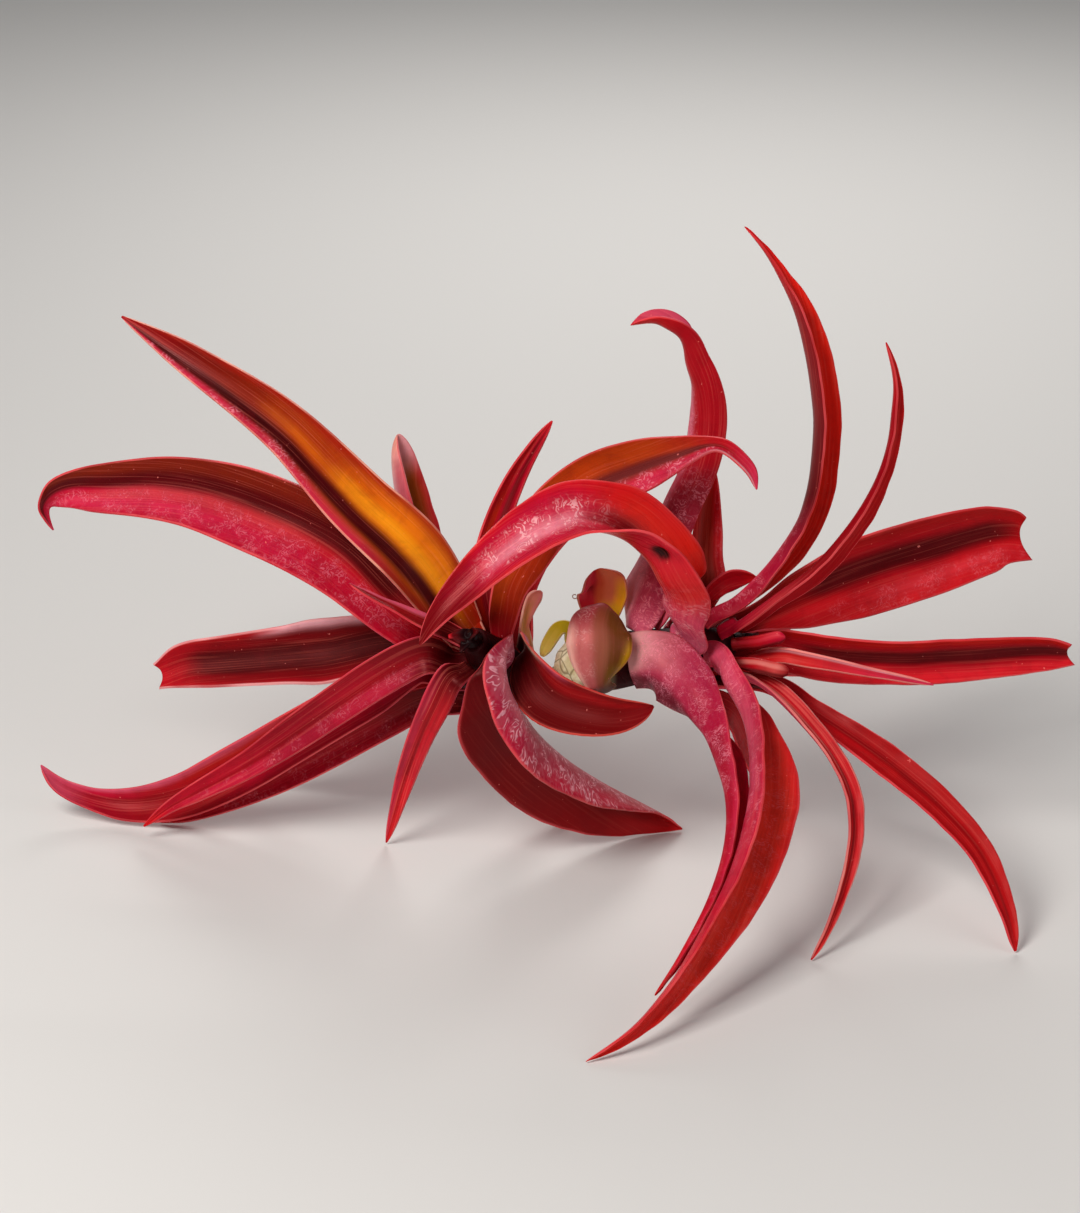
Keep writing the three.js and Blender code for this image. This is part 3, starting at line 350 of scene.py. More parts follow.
def waves_of(mesh, seed):
    """How far the long waves of the blade and the short ones of its margins lift each point."""
    run, across = read_attribute(mesh, "run"), read_attribute(mesh, "across")
    long_wave = np.array([noise.noise((r / SWELL_LENGTH, SWELL_TURNS_ACROSS * a, seed))
                          for r, a in zip(run, across)])
    short_wave = np.array([noise.noise((r / WAVER_LENGTH, np.sign(a) * SIDES_APART,
                                        seed + NEXT_NOISE)) for r, a in zip(run, across)])
    free = ramp_between(read_attribute(mesh, "along"), 0, FREE_FROM)
    near_margin = ramp_between(np.abs(across), MARGIN_START, 1)
    return free * (SWELL * long_wave + WAVER * near_margin * short_wave)


print("waves:", 1000 * SWELL, "mm high on the blade and", 1000 * WAVER, "mm at its margins")

# %% [markdown]
# Some leaves have a crease, a ridge or a small hollow of their own. Each is a long soft dent: its
# place along and across the blade, its half length and half breadth in metres, how far it rises or
# sinks, and how much painted shade darkens its floor.

# %% Dent a blade
MIN_REACH = 0.05


def dents_of(mesh, dents):
    """How far each point is lifted by the dents, and how much painted shade it gets in one."""
    along, across = read_attribute(mesh, "along"), read_attribute(mesh, "across")
    over = read_attribute(mesh, "over")
    length = read_attribute(mesh, "run").max()
    height, hollow = np.zeros(len(along)), np.zeros(len(along))
    for dent_along, dent_across, half_length, half_breadth, rise, dark in dents:
        nearest = np.argmin(np.abs(along - dent_along) + np.abs(across - dent_across))
        scale = np.abs(over[nearest]) / max(abs(dent_across), MIN_REACH)
        away = np.hypot((along - dent_along) * length / half_length,
                        (across - dent_across) * scale / half_breadth)
        dent = 1 - ramp_between(away, 0, 1)
        height += rise * dent
        # the floor of a dent gets painted shade, by the dent's last value
        hollow = np.maximum(hollow, dark * dent)
    return height, hollow


def make_uneven(piece, seed, dents):
    mesh = piece.data
    lift = read_attribute(mesh, "lift", 3)
    lift /= np.linalg.norm(lift, axis=1, keepdims=True)
    dented, hollow = dents_of(mesh, dents)
    height = waves_of(mesh, seed) + dented
    write_attribute(mesh, "hollow", "FLOAT", hollow)
    place = np.zeros(len(mesh.vertices) * 3, np.float32)
    mesh.vertices.foreach_get("co", place)
    place = place.reshape(-1, 3) + lift * height[:, None]
    place[:, 2] = np.maximum(place[:, 2], 0)
    mesh.vertices.foreach_set("co", place.ravel())
    mesh.update()


print("a dent: along, across, half length, half breadth, rise, how dark")

# %% [markdown]
# No two leaves have the same colours. So each one is painted like a picture: first a run of colours
# from the root to the tip on each face, and then soft patches, each a window along and across the
# blade. A little noise bends the edges of the windows, as in a living leaf. Both coats are kept on
# the points of the mesh, so they stay with the leaf from every side.

# %% Mix colours
def paint(code):
    """A hex colour as the linear light that a shader works in, by the sRGB formula."""
    channels = [int(code[i:i + 2], 16) / 255 for i in (1, 3, 5)]
    linear = [((c + 0.055) / 1.055) ** 2.4 if c > 0.04045 else c / 12.92 for c in channels]
    return linear + [1]


def run_of_colours(values, stops):
    places = [place for place, _ in stops]
    colours = np.array([paint(code) for _, code in stops])
    return np.stack([np.interp(values, places, colours[:, c]) for c in range(4)], axis=1)


def window(values, low, high, soft):
    return ramp_between(values, low - soft / 2, low + soft / 2) * (
        1 - ramp_between(values, high - soft / 2, high + soft / 2))


print("middle grey in linear light:", round(paint("#808080")[0], 3))

# %% [markdown]
# A patch names its face, where it starts and ends along the blade and across it, its colour and
# how strong it is; patches paint the leaf's own colours and also painted light and painted shade.
# The floor of a hollow gets painted shade after the patches. A second coat says where the pale
# scales lie that the plant drinks through.

# %% Paint a blade
INNER, OUTER = 1.0, 0.0
SOFT_ALONG = 0.16
SOFT_ACROSS = 0.34
BEND_LENGTH, BEND_BREADTH = 0.014, 0.007
BEND_ALONG = 0.05
BEND_ACROSS = 0.07
FACE_RAMP = (0.4, 0.6)
HOLLOW_RAMP = (0.2, 0.7)
HOLLOW_SHADE = "#1c0104"


def paint_blade(piece, inner, outer, patches, scales, seed):
    mesh = piece.data
    along, across = read_attribute(mesh, "along"), read_attribute(mesh, "across")
    run, over = read_attribute(mesh, "run"), read_attribute(mesh, "over")
    inside = ramp_between(read_attribute(mesh, "inside"), *FACE_RAMP)
    bend = np.array([noise.noise((r / BEND_LENGTH, o / BEND_BREADTH, seed))
                     for r, o in zip(run, over)])
    bent_along, bent_across = along + BEND_ALONG * bend, across + BEND_ACROSS * bend

    def share(face, low, high, left, right):
        on_face = inside if face == INNER else 1 - inside
        return on_face * window(bent_along, low, high, SOFT_ALONG) * window(
            bent_across, left, right, SOFT_ACROSS)

    side = inside[:, None]
    colour = side * run_of_colours(bent_along, inner)
    colour = colour + (1 - side) * run_of_colours(bent_along, outer)
    # the patches paint the leaf's own colours and also painted light and painted shade
    for face, low, high, left, right, code, strength in patches:
        weight = strength * share(face, low, high, left, right)[:, None]
        colour = (1 - weight) * colour + weight * np.array(paint(code))
    # painted shade on the floor of each hollow
    shade = ramp_between(read_attribute(mesh, "hollow"), *HOLLOW_RAMP)[:, None]
    colour = (1 - shade) * colour + shade * np.array(paint(HOLLOW_SHADE))
    cover = np.zeros(len(along))
    for face, low, high, left, right, amount in scales:
        cover = np.maximum(cover, amount * share(face, low, high, left, right))
    layer = mesh.attributes.new("tint", "FLOAT_COLOR", "POINT")
    layer.data.foreach_set("color", colour.astype(np.float32).ravel())
    write_attribute(mesh, "scales", "FLOAT", cover)


print("patches fade over", SOFT_ALONG, "of the length and", SOFT_ACROSS, "of half the breadth")

# %% [markdown]
# Every finish is a node tree round one shader. A value that is the same all over the surface is set
# on the shader's own socket. What changes over the surface is fed to a socket by a node, so one
# helper takes both, and a hex colour too.

# %% Start a finish
def new_finish(name, **settings):
    """A new material, its tree and its shader, with the shader's settings by their names."""
    material = bpy.data.materials.new(name)
    material.use_nodes = True
    shader = material.node_tree.nodes["Principled BSDF"]
    for setting, value in settings.items():
        feed(material.node_tree, shader.inputs[setting.replace("_", " ")], value)
    return material, material.node_tree, shader


def feed(tree, socket, value):
    if isinstance(value, bpy.types.NodeSocket):
        tree.links.new(value, socket)
    elif isinstance(value, str):
        socket.default_value = paint(value)
    else:
        socket.default_value = value


print("a finish: new_finish, then feed")

# %% [markdown]
# The same few nodes come back in each tree. These helpers add one node and join it up, so that a
# finish reads as a list of what it is made of. The Mix node keeps its colour sockets at fixed
# places in its lists, after those for numbers and vectors.

# %% Add a node
MIX_A, MIX_B, MIX_RESULT = 6, 7, 2


def attribute(tree, name, output="Fac"):
    node = tree.nodes.new("ShaderNodeAttribute")
    node.attribute_name = name
    return node.outputs[output]


def number(tree, operation, *values):
    node = tree.nodes.new("ShaderNodeMath")
    node.operation = operation
    for socket, value in zip(node.inputs, values):
        feed(tree, socket, value)
    return node.outputs[0]


def stretch(tree, value, low, high, to_low=0.0, to_high=1.0):
    node = tree.nodes.new("ShaderNodeMapRange")
    node.interpolation_type = "SMOOTHSTEP"
    for name, given in (("Value", value), ("From Min", low), ("From Max", high),
                        ("To Min", to_low), ("To Max", to_high)):
        feed(tree, node.inputs[name], given)
    return node.outputs["Result"]


def blend(tree, factor, below, above, how="MIX"):
    node = tree.nodes.new("ShaderNodeMix")
    node.data_type = "RGBA"
    node.blend_type = how
    feed(tree, node.inputs["Factor"], factor)
    feed(tree, node.inputs[MIX_A], below)
    feed(tree, node.inputs[MIX_B], above)
    return node.outputs[MIX_RESULT]


def vector(tree, x, y, z):
    node = tree.nodes.new("ShaderNodeCombineXYZ")
    for socket, value in zip(node.inputs, (x, y, z)):
        feed(tree, socket, value)
    return node.outputs[0]


def cloud(tree, where, scale, detail=3.0, roughness=0.55, twist=0.0):
    node = tree.nodes.new("ShaderNodeTexNoise")
    tree.links.new(where, node.inputs["Vector"])
    for name, given in (("Scale", scale), ("Detail", detail), ("Roughness", roughness),
                        ("Distortion", twist)):
        node.inputs[name].default_value = given
    return node.outputs["Fac"]


def object_place(tree):
    return tree.nodes.new("ShaderNodeTexCoord").outputs["Object"]


def relief(tree, shader, height, strength, distance):
    bump = tree.nodes.new("ShaderNodeBump")
    bump.inputs["Strength"].default_value = strength
    bump.inputs["Distance"].default_value = distance
    feed(tree, bump.inputs["Height"], height)
    feed(tree, shader.inputs["Normal"], bump.outputs["Normal"])


print("nodes: attribute, number, stretch, blend, vector, cloud, object_place, relief")

# %% [markdown]
# The finish lays the fine work over the painted coat. Blotches are where the red is deeper. Fine
# lines run the whole length of the blade: their noise is read in the blade's own measures, and is
# drawn out along it. Edges are the noise values between which a mark fades in.

# %% Blotches and lines of a leaf
BLOTCHES = 130.0
BLOTCH_EDGES = (0.40, 0.70)
BLOTCH_STRENGTH = 0.22
LINES_ACROSS = 2600.0
LINES_ALONG = 26.0
LIGHT_EDGES, DARK_EDGES = (0.52, 0.70), (0.48, 0.30)
LIGHT_LINE = "#ff7a68"


def with_blotches(tree, where, colour, deep):
    noise_here = cloud(tree, where, BLOTCHES, detail=4.0, roughness=0.6, twist=0.6)
    blotches = stretch(tree, noise_here, *BLOTCH_EDGES, to_high=BLOTCH_STRENGTH)
    return blend(tree, blotches, colour, deep)


def strands_of(tree, over, run, seed):
    grain = vector(tree, number(tree, "MULTIPLY", over, LINES_ACROSS),
                   number(tree, "MULTIPLY", run, LINES_ALONG), seed)
    return cloud(tree, grain, 1.0, detail=2.0, roughness=0.5)


def with_lines(tree, strands, colour, strength, deep):
    light = stretch(tree, strands, *LIGHT_EDGES, to_high=strength)
    dark = stretch(tree, strands, *DARK_EDGES, to_high=strength)
    return blend(tree, dark, blend(tree, light, colour, LIGHT_LINE, "SCREEN"), deep)


print("lines:", round(1000 / LINES_ACROSS, 2), "mm apart, and", LINES_ACROSS / LINES_ALONG,
      "times as long as wide")

# %% [markdown]
# The pale scales make a crinkled film. Its pattern is the level lines of a noise, like those of a
# map: narrow worms that never cross. It is patchy, and lies only where the blade is painted with
# scales. Here and there a bright speck is a painted glint.

# %% The film of scales
LEVELS = 4.5
LINE_EDGES = (0.22, 0.08)
BETWEEN_LINES = 0.12
PATCHES = 210.0
PATCH_EDGES = (0.42, 0.60)
BETWEEN_PATCHES = 0.1
GLINT_SCALE = 900.0
GLINT_EDGES = (0.76, 0.82)
GLINT_STRENGTH = 0.5
GLINT_COLOUR = "#ff8a80"


def film_of(tree, over, run, where, fineness, seed):
    """How much of the film there is at each place."""
    on_blade = vector(tree, over, run, seed)
    worms = cloud(tree, on_blade, fineness, detail=1.0, roughness=0.5, twist=0.9)
    step = number(tree, "FRACT", number(tree, "MULTIPLY", worms, LEVELS))
    off_line = number(tree, "ABSOLUTE", number(tree, "SUBTRACT", step, 0.5))
    ridge = number(tree, "MULTIPLY_ADD", stretch(tree, off_line, *LINE_EDGES),
                   1 - BETWEEN_LINES, BETWEEN_LINES)
    noise_here = cloud(tree, where, PATCHES, detail=2.0)
    patchy = stretch(tree, noise_here, *PATCH_EDGES, to_low=BETWEEN_PATCHES)
    covered = number(tree, "MULTIPLY", attribute(tree, "scales"), patchy)
    return number(tree, "MULTIPLY", covered, ridge)


def with_painted_glints(tree, where, colour):
    # a painted glint: a bright speck here and there
    noise_here = cloud(tree, where, GLINT_SCALE, detail=1.0, roughness=0.5)
    glints = stretch(tree, noise_here, *GLINT_EDGES, to_high=GLINT_STRENGTH)
    return blend(tree, glints, colour, GLINT_COLOUR)


print("film:", LEVELS, "level lines from the lowest to the highest place of its noise")

# %% [markdown]
# The margin is painted bright, unevenly: on a leaf that is a painted highlight, where the thin
# blade catches the light, and on a bract its pale edge. The whole leaf is satin. A little light
# goes through it, and its gloss is tinted, so that the red stays deep in the sheen. The film is a
# little rough and raised.

# %% The finish of a leaf
MARGIN_UNEVENNESS = 45.0
MARGIN_UNEVEN_EDGES = (0.35, 0.65)
FAINTEST_MARGIN, FULLEST_MARGIN = 0.25, 0.8
FILM_STRENGTH = 0.75
FILM_ROUGHNESS = 0.12
FILM_HEIGHT, LINE_HEIGHT = 0.7, 0.5
RELIEF_STRENGTH = 0.4
RELIEF_DEPTH = 0.0004
GLOSS_EDGES = (0.3, 0.7)
SMOOTHER, ROUGHER = 0.05, 0.08
SKIN_DEPTH = 0.0012


def with_margin(tree, across, where, colour, margin, width):
    # the bright margin: painted highlight on a leaf, the pale edge of a bract; noise makes it
    # uneven
    edge = stretch(tree, number(tree, "ABSOLUTE", across), 1 - width, 1.0)
    noise_here = cloud(tree, where, MARGIN_UNEVENNESS, detail=2.0)
    margin_share = stretch(tree, noise_here, *MARGIN_UNEVEN_EDGES, FAINTEST_MARGIN, FULLEST_MARGIN)
    return blend(tree, number(tree, "MULTIPLY", edge, margin_share), colour, margin)


def leaf_finish(name, margin="#ea5458", margin_width=0.04, lines=0.12, gloss=0.36,
                film="#f790a0", deep="#6a0610", fineness=420.0, seed=0.0):
    material, tree, shader = new_finish(
        name, Specular_IOR_Level=0.24, Specular_Tint="#ff9c98", Subsurface_Weight=0.1,
        Subsurface_Radius=(1.0, 0.2, 0.1), Subsurface_Scale=SKIN_DEPTH)
    across, run, over = (attribute(tree, key) for key in ("across", "run", "over"))
    where = object_place(tree)
    strands = strands_of(tree, over, run, seed)
    film_here = film_of(tree, over, run, where, fineness, seed)

    colour = with_blotches(tree, where, attribute(tree, "tint", "Color"), deep)
    colour = with_lines(tree, strands, colour, lines, deep)
    colour = blend(tree, number(tree, "MULTIPLY", film_here, FILM_STRENGTH), colour, film)
    colour = with_painted_glints(tree, where, colour)
    colour = with_margin(tree, across, where, colour, margin, margin_width)
    feed(tree, shader.inputs["Base Color"], colour)

    rough = stretch(tree, strands, *GLOSS_EDGES, gloss - SMOOTHER, gloss + ROUGHER)
    rough = number(tree, "MULTIPLY_ADD", film_here, FILM_ROUGHNESS, rough)
    feed(tree, shader.inputs["Roughness"], rough)
    raised = number(tree, "MULTIPLY_ADD", film_here, FILM_HEIGHT,
                    number(tree, "MULTIPLY", strands, LINE_HEIGHT))
    relief(tree, shader, raised, RELIEF_STRENGTH, RELIEF_DEPTH)
    return material


print("light goes", 1000 * SKIN_DEPTH, "mm deep into a leaf")

# %% [markdown]
# The palette goes from the near black of painted shade in a fold, through wine red, scarlet and
# crimson, to the rose and blush of the outer faces, with ember, orange and gold, the hues also of
# the painted glow where light comes through.

# %% Choose the palette
NIGHT, WINE, DEEP, RED = "#360206", "#5a040a", "#8c0812", "#b80c1c"
SCARLET, CRIMSON, ROSE, PINK = "#d4141a", "#c21034", "#d42c50", "#dc5a76"
BLUSH, CREAM = "#efaab2", "#eedcc0"
EMBER, ORANGE, GOLD = "#a82c06", "#e2480a", "#fdb420"
OLIVE, LIME = "#8a6a1c", "#b6a82c"

# The runs that start near black or wine red at the root have painted shade there, in the mouth.
RED_FACE = [(0.0, WINE), (0.12, DEEP), (0.4, RED), (0.85, RED), (1.0, SCARLET)]
DARK_FACE = [(0.0, NIGHT), (0.15, WINE), (0.6, DEEP), (0.9, DEEP), (1.0, RED)]
CRIMSON_FACE = [(0.0, DEEP), (0.2, CRIMSON), (0.9, CRIMSON), (1.0, SCARLET)]
MOUTH_FACE = [(0.0, NIGHT), (0.12, WINE), (0.4, "#b40c26"), (0.9, "#b40c26"), (1.0, SCARLET)]
ROSE_BACK = [(0.0, PINK), (0.2, ROSE), (0.5, CRIMSON), (1.0, CRIMSON)]
PLAIN_LOOK = dict(coat=(RED_FACE, ROSE_BACK))
print("palette: from", paint(NIGHT)[:3], "to", paint(CREAM)[:3])

# %% [markdown]
# A look is the coat of the inner and the outer face, each a run of colours from the root to the
# tip, then the patches, the cover of scales, and what differs in the finish. The left rosette shows
# its inner faces. They have painted shade down the middle of the channel, where little light falls,
# and painted light, brighter or paler, on the side that turns up. The amber leaf has a painted gold
# glow where light comes through.

# %% Paint the left rosette
leaf_looks = {
    # Amber leaf: the gold and orange are painted glow where light comes through, the near-black
    # band is painted shade in the channel, and the pink band of the lower margin is painted light.
    "left_amber_leaf": dict(
        coat=([(0.0, WINE), (0.07, "#a83006"), (0.17, "#ea7c0a"), (0.34, "#e06a08"),
               (0.5, "#b03c06"), (0.66, "#842004"), (0.85, "#6e0a06"), (1.0, "#98080e")],
              ROSE_BACK),
        patches=[(INNER, 0.08, 0.46, -0.05, 0.35, "#f89c14", 0.75),
                 (INNER, 0.4, 0.62, 0.0, 0.3, "#d8660a", 0.6),
                 (INNER, -0.1, 1.0, 0.78, 1.3, "#9a1404", 0.85),
                 (INNER, -0.1, 0.98, -0.7, -0.15, "#380204", 1.0),
                 (INNER, -0.1, 0.4, -1.3, -0.7, DEEP, 0.9),
                 (INNER, 0.3, 1.1, -1.3, -0.75, "#d02446", 0.9)],
        scales=[(INNER, 0.5, 0.98, -1.3, -0.7, 0.9)],
        margin="#ffb49a"),
    # Hooked leaf: its dark upper half is painted shade, and its lower half is its own crimson and
    # rose brightened with painted light.
    "left_hooked_leaf": dict(
        coat=([(0.0, DEEP), (0.12, RED), (0.5, RED), (0.93, CRIMSON), (1.0, PINK)], ROSE_BACK),
        patches=[(INNER, 0.15, 0.97, 0.05, 1.3, "#400204", 0.95),
                 (INNER, 0.3, 0.92, 0.6, 1.3, "#7c1c04", 0.9),
                 (INNER, 0.14, 1.1, -1.3, -0.15, "#b80c2c", 0.95),
                 (INNER, 0.4, 0.97, -0.9, -0.4, "#cc1c44", 0.5),
                 (INNER, 0.6, 0.95, -0.8, -0.4, ROSE, 0.4)],
        scales=[(INNER, 0.16, 0.97, -0.98, -0.1, 0.55)],
        film="#ee7c90", fineness=520.0),
    # Level leaf: the near-black root and middle are painted shade, and the blush band along the
    # upper margin is a painted highlight.
    "left_level_leaf": dict(
        coat=([(0.0, NIGHT), (0.3, "#6a060c"), (0.8, "#820810"), (1.0, RED)], ROSE_BACK),
        patches=[(INNER, 0.1, 0.9, -0.5, 0.5, "#3c0206", 0.9),
                 (INNER, 0.2, 0.66, 0.84, 1.4, "#f4b8c0", 1.0),
                 (INNER, 0.6, 1.0, 0.9, 1.3, SCARLET, 0.6),
                 (INNER, 0.92, 1.2, -0.2, 0.9, RED, 0.5),
                 (INNER, 0.3, 1.1, -1.3, -0.85, RED, 0.7)],
        margin="#ffb4b4", margin_width=0.07, gloss=0.55, blunt=True),
    "left_upturned_leaf": dict(
        coat=([(0.0, NIGHT), (0.14, WINE), (0.35, RED), (0.75, "#a80c1c"), (0.88, CRIMSON),
               (1.0, PINK)],
              ROSE_BACK),
        patches=[(INNER, 0.15, 0.7, 0.55, 1.3, "#b8180c", 0.7),
                 (INNER, 0.45, 1.0, 0.84, 1.3, PINK, 0.8),
                 (INNER, 0.1, 0.6, -1.0, 0.1, CRIMSON, 0.6),
                 (INNER, 0.1, 0.9, 0.15, 0.4, WINE, 0.6),
                 (INNER, 0.6, 0.95, -1.3, 0.5, DEEP, 0.6)]),
    "left_lower_leaf": dict(
        coat=(MOUTH_FACE, ROSE_BACK),
        patches=[(INNER, 0.15, 1.0, -0.2, 0.1, DEEP, 0.7),
                 (INNER, 0.15, 0.85, -1.0, -0.3, ROSE, 0.35)],
        scales=[(INNER, 0.15, 0.8, -0.9, -0.2, 0.25)]),
    "left_lowest_leaf": dict(
        coat=(MOUTH_FACE, ROSE_BACK),
        patches=[(INNER, 0.2, 1.0, 0.3, 1.3, DEEP, 0.6)],
        scales=[(INNER, 0.2, 0.9, -1.0, 0.2, 0.3)]),
    "left_narrow_leaf": dict(
        coat=([(0.0, NIGHT), (0.1, WINE), (0.25, RED), (0.6, "#d0182a"), (1.0, SCARLET)],
              ROSE_BACK),
        patches=[(INNER, 0.15, 1.0, 0.45, 1.3, ROSE, 0.6),
                 (INNER, 0.1, 0.9, -0.2, 0.1, DEEP, 0.35)],
        lines=0.32),
    "left_sweeping_leaf": dict(
        coat=([(0.0, NIGHT), (0.3, "#6c040a"), (0.8, "#8c060c"), (1.0, SCARLET)],
              [(0.0, "#b83a58"), (0.12, "#b42a4a"), (0.5, "#b01238"), (0.8, "#bc0c28"),
               (1.0, SCARLET)]),
        patches=[(OUTER, 0.05, 0.3, -0.6, 0.3, BLUSH, 0.35),
                 (OUTER, 0.15, 0.75, -1.3, -0.85, CRIMSON, 0.8),
                 (INNER, 0.1, 0.9, -0.5, 0.5, NIGHT, 0.6)],
        scales=[(OUTER, -0.1, 0.95, -1.1, 1.1, 1.0)],
        film="#f4b4c0", lines=0.05),
    "left_cradle_leaf": dict(
        coat=([(0.0, NIGHT), (0.3, "#520408"), (0.8, "#6a0608"), (1.0, DEEP)], ROSE_BACK),
        patches=[(INNER, -0.2, 0.32, -1.4, -0.88, CREAM, 1.0),
                 (INNER, 0.3, 0.48, -1.4, -0.9, PINK, 0.8),
                 (INNER, 0.3, 0.95, -0.85, -0.5, "#a00c12", 0.7)],
        margin="#e8584a", lines=0.05, gloss=0.5),
    # Arching leaf: the dark valley is painted shade and painted shade darkens the upper half to
    # orange-brown; the crimson, rose and blush of the lower half and lip are painted light on its
    # red.
    "left_arching_leaf": dict(
        coat=([(0.0, DEEP), (0.2, EMBER), (0.7, "#a01a0c"), (0.85, RED), (1.0, ROSE)],
              ROSE_BACK),
        patches=[(INNER, 0.12, 0.75, -1.0, -0.1, "#b03c08", 0.8),
                 (INNER, 0.2, 0.5, -0.8, -0.3, ORANGE, 0.3),
                 (INNER, 0.3, 0.85, -0.2, 0.3, "#4a0406", 0.9),
                 (INNER, 0.35, 0.86, 0.35, 1.3, CRIMSON, 0.9),
                 (INNER, 0.5, 0.8, 0.5, 0.95, ROSE, 0.6),
                 (INNER, 0.8, 1.05, 0.8, 1.4, BLUSH, 0.8)],
        scales=[(INNER, 0.35, 0.85, 0.3, 1.0, 0.8)],
        gloss=0.5),
    "left_spear_leaf": dict(
        coat=(MOUTH_FACE, ROSE_BACK),
        patches=[(INNER, 0.1, 0.95, -1.1, -0.2, "#a40c10", 0.8),
                 (INNER, 0.1, 0.6, -0.7, -0.3, ORANGE, 0.3),
                 (INNER, 0.2, 0.95, 0.05, 0.7, WINE, 0.85)]),
    "left_blunt_leaf": dict(
        coat=([(0.0, WINE), (0.4, EMBER), (1.0, "#a85a10")],
              [(0.0, PINK), (0.5, "#dc5c78"), (0.8, BLUSH), (1.0, "#f09c88")]),
        patches=[(INNER, 0.3, 0.92, -0.3, 0.7, "#9a5a12", 0.8),
                 (INNER, 0.3, 1.0, 0.85, 1.3, CRIMSON, 0.8),
                 (INNER, 0.9, 1.1, -1.3, 1.3, BLUSH, 0.8),
                 (INNER, 0.2, 1.0, -1.3, -0.7, BLUSH, 0.8),
                 (OUTER, 0.3, 0.97, -0.3, 0.1, "#f8c4c8", 0.7),
                 (OUTER, 0.2, 0.9, -1.2, -0.6, CRIMSON, 0.7)]),
    "left_inner_leaf": dict(
        coat=(DARK_FACE, ROSE_BACK),
        patches=[(INNER, 0.3, 1.1, 0.6, 1.3, PINK, 0.7)]),
}
print("left rosette:", len(leaf_looks), "looks")
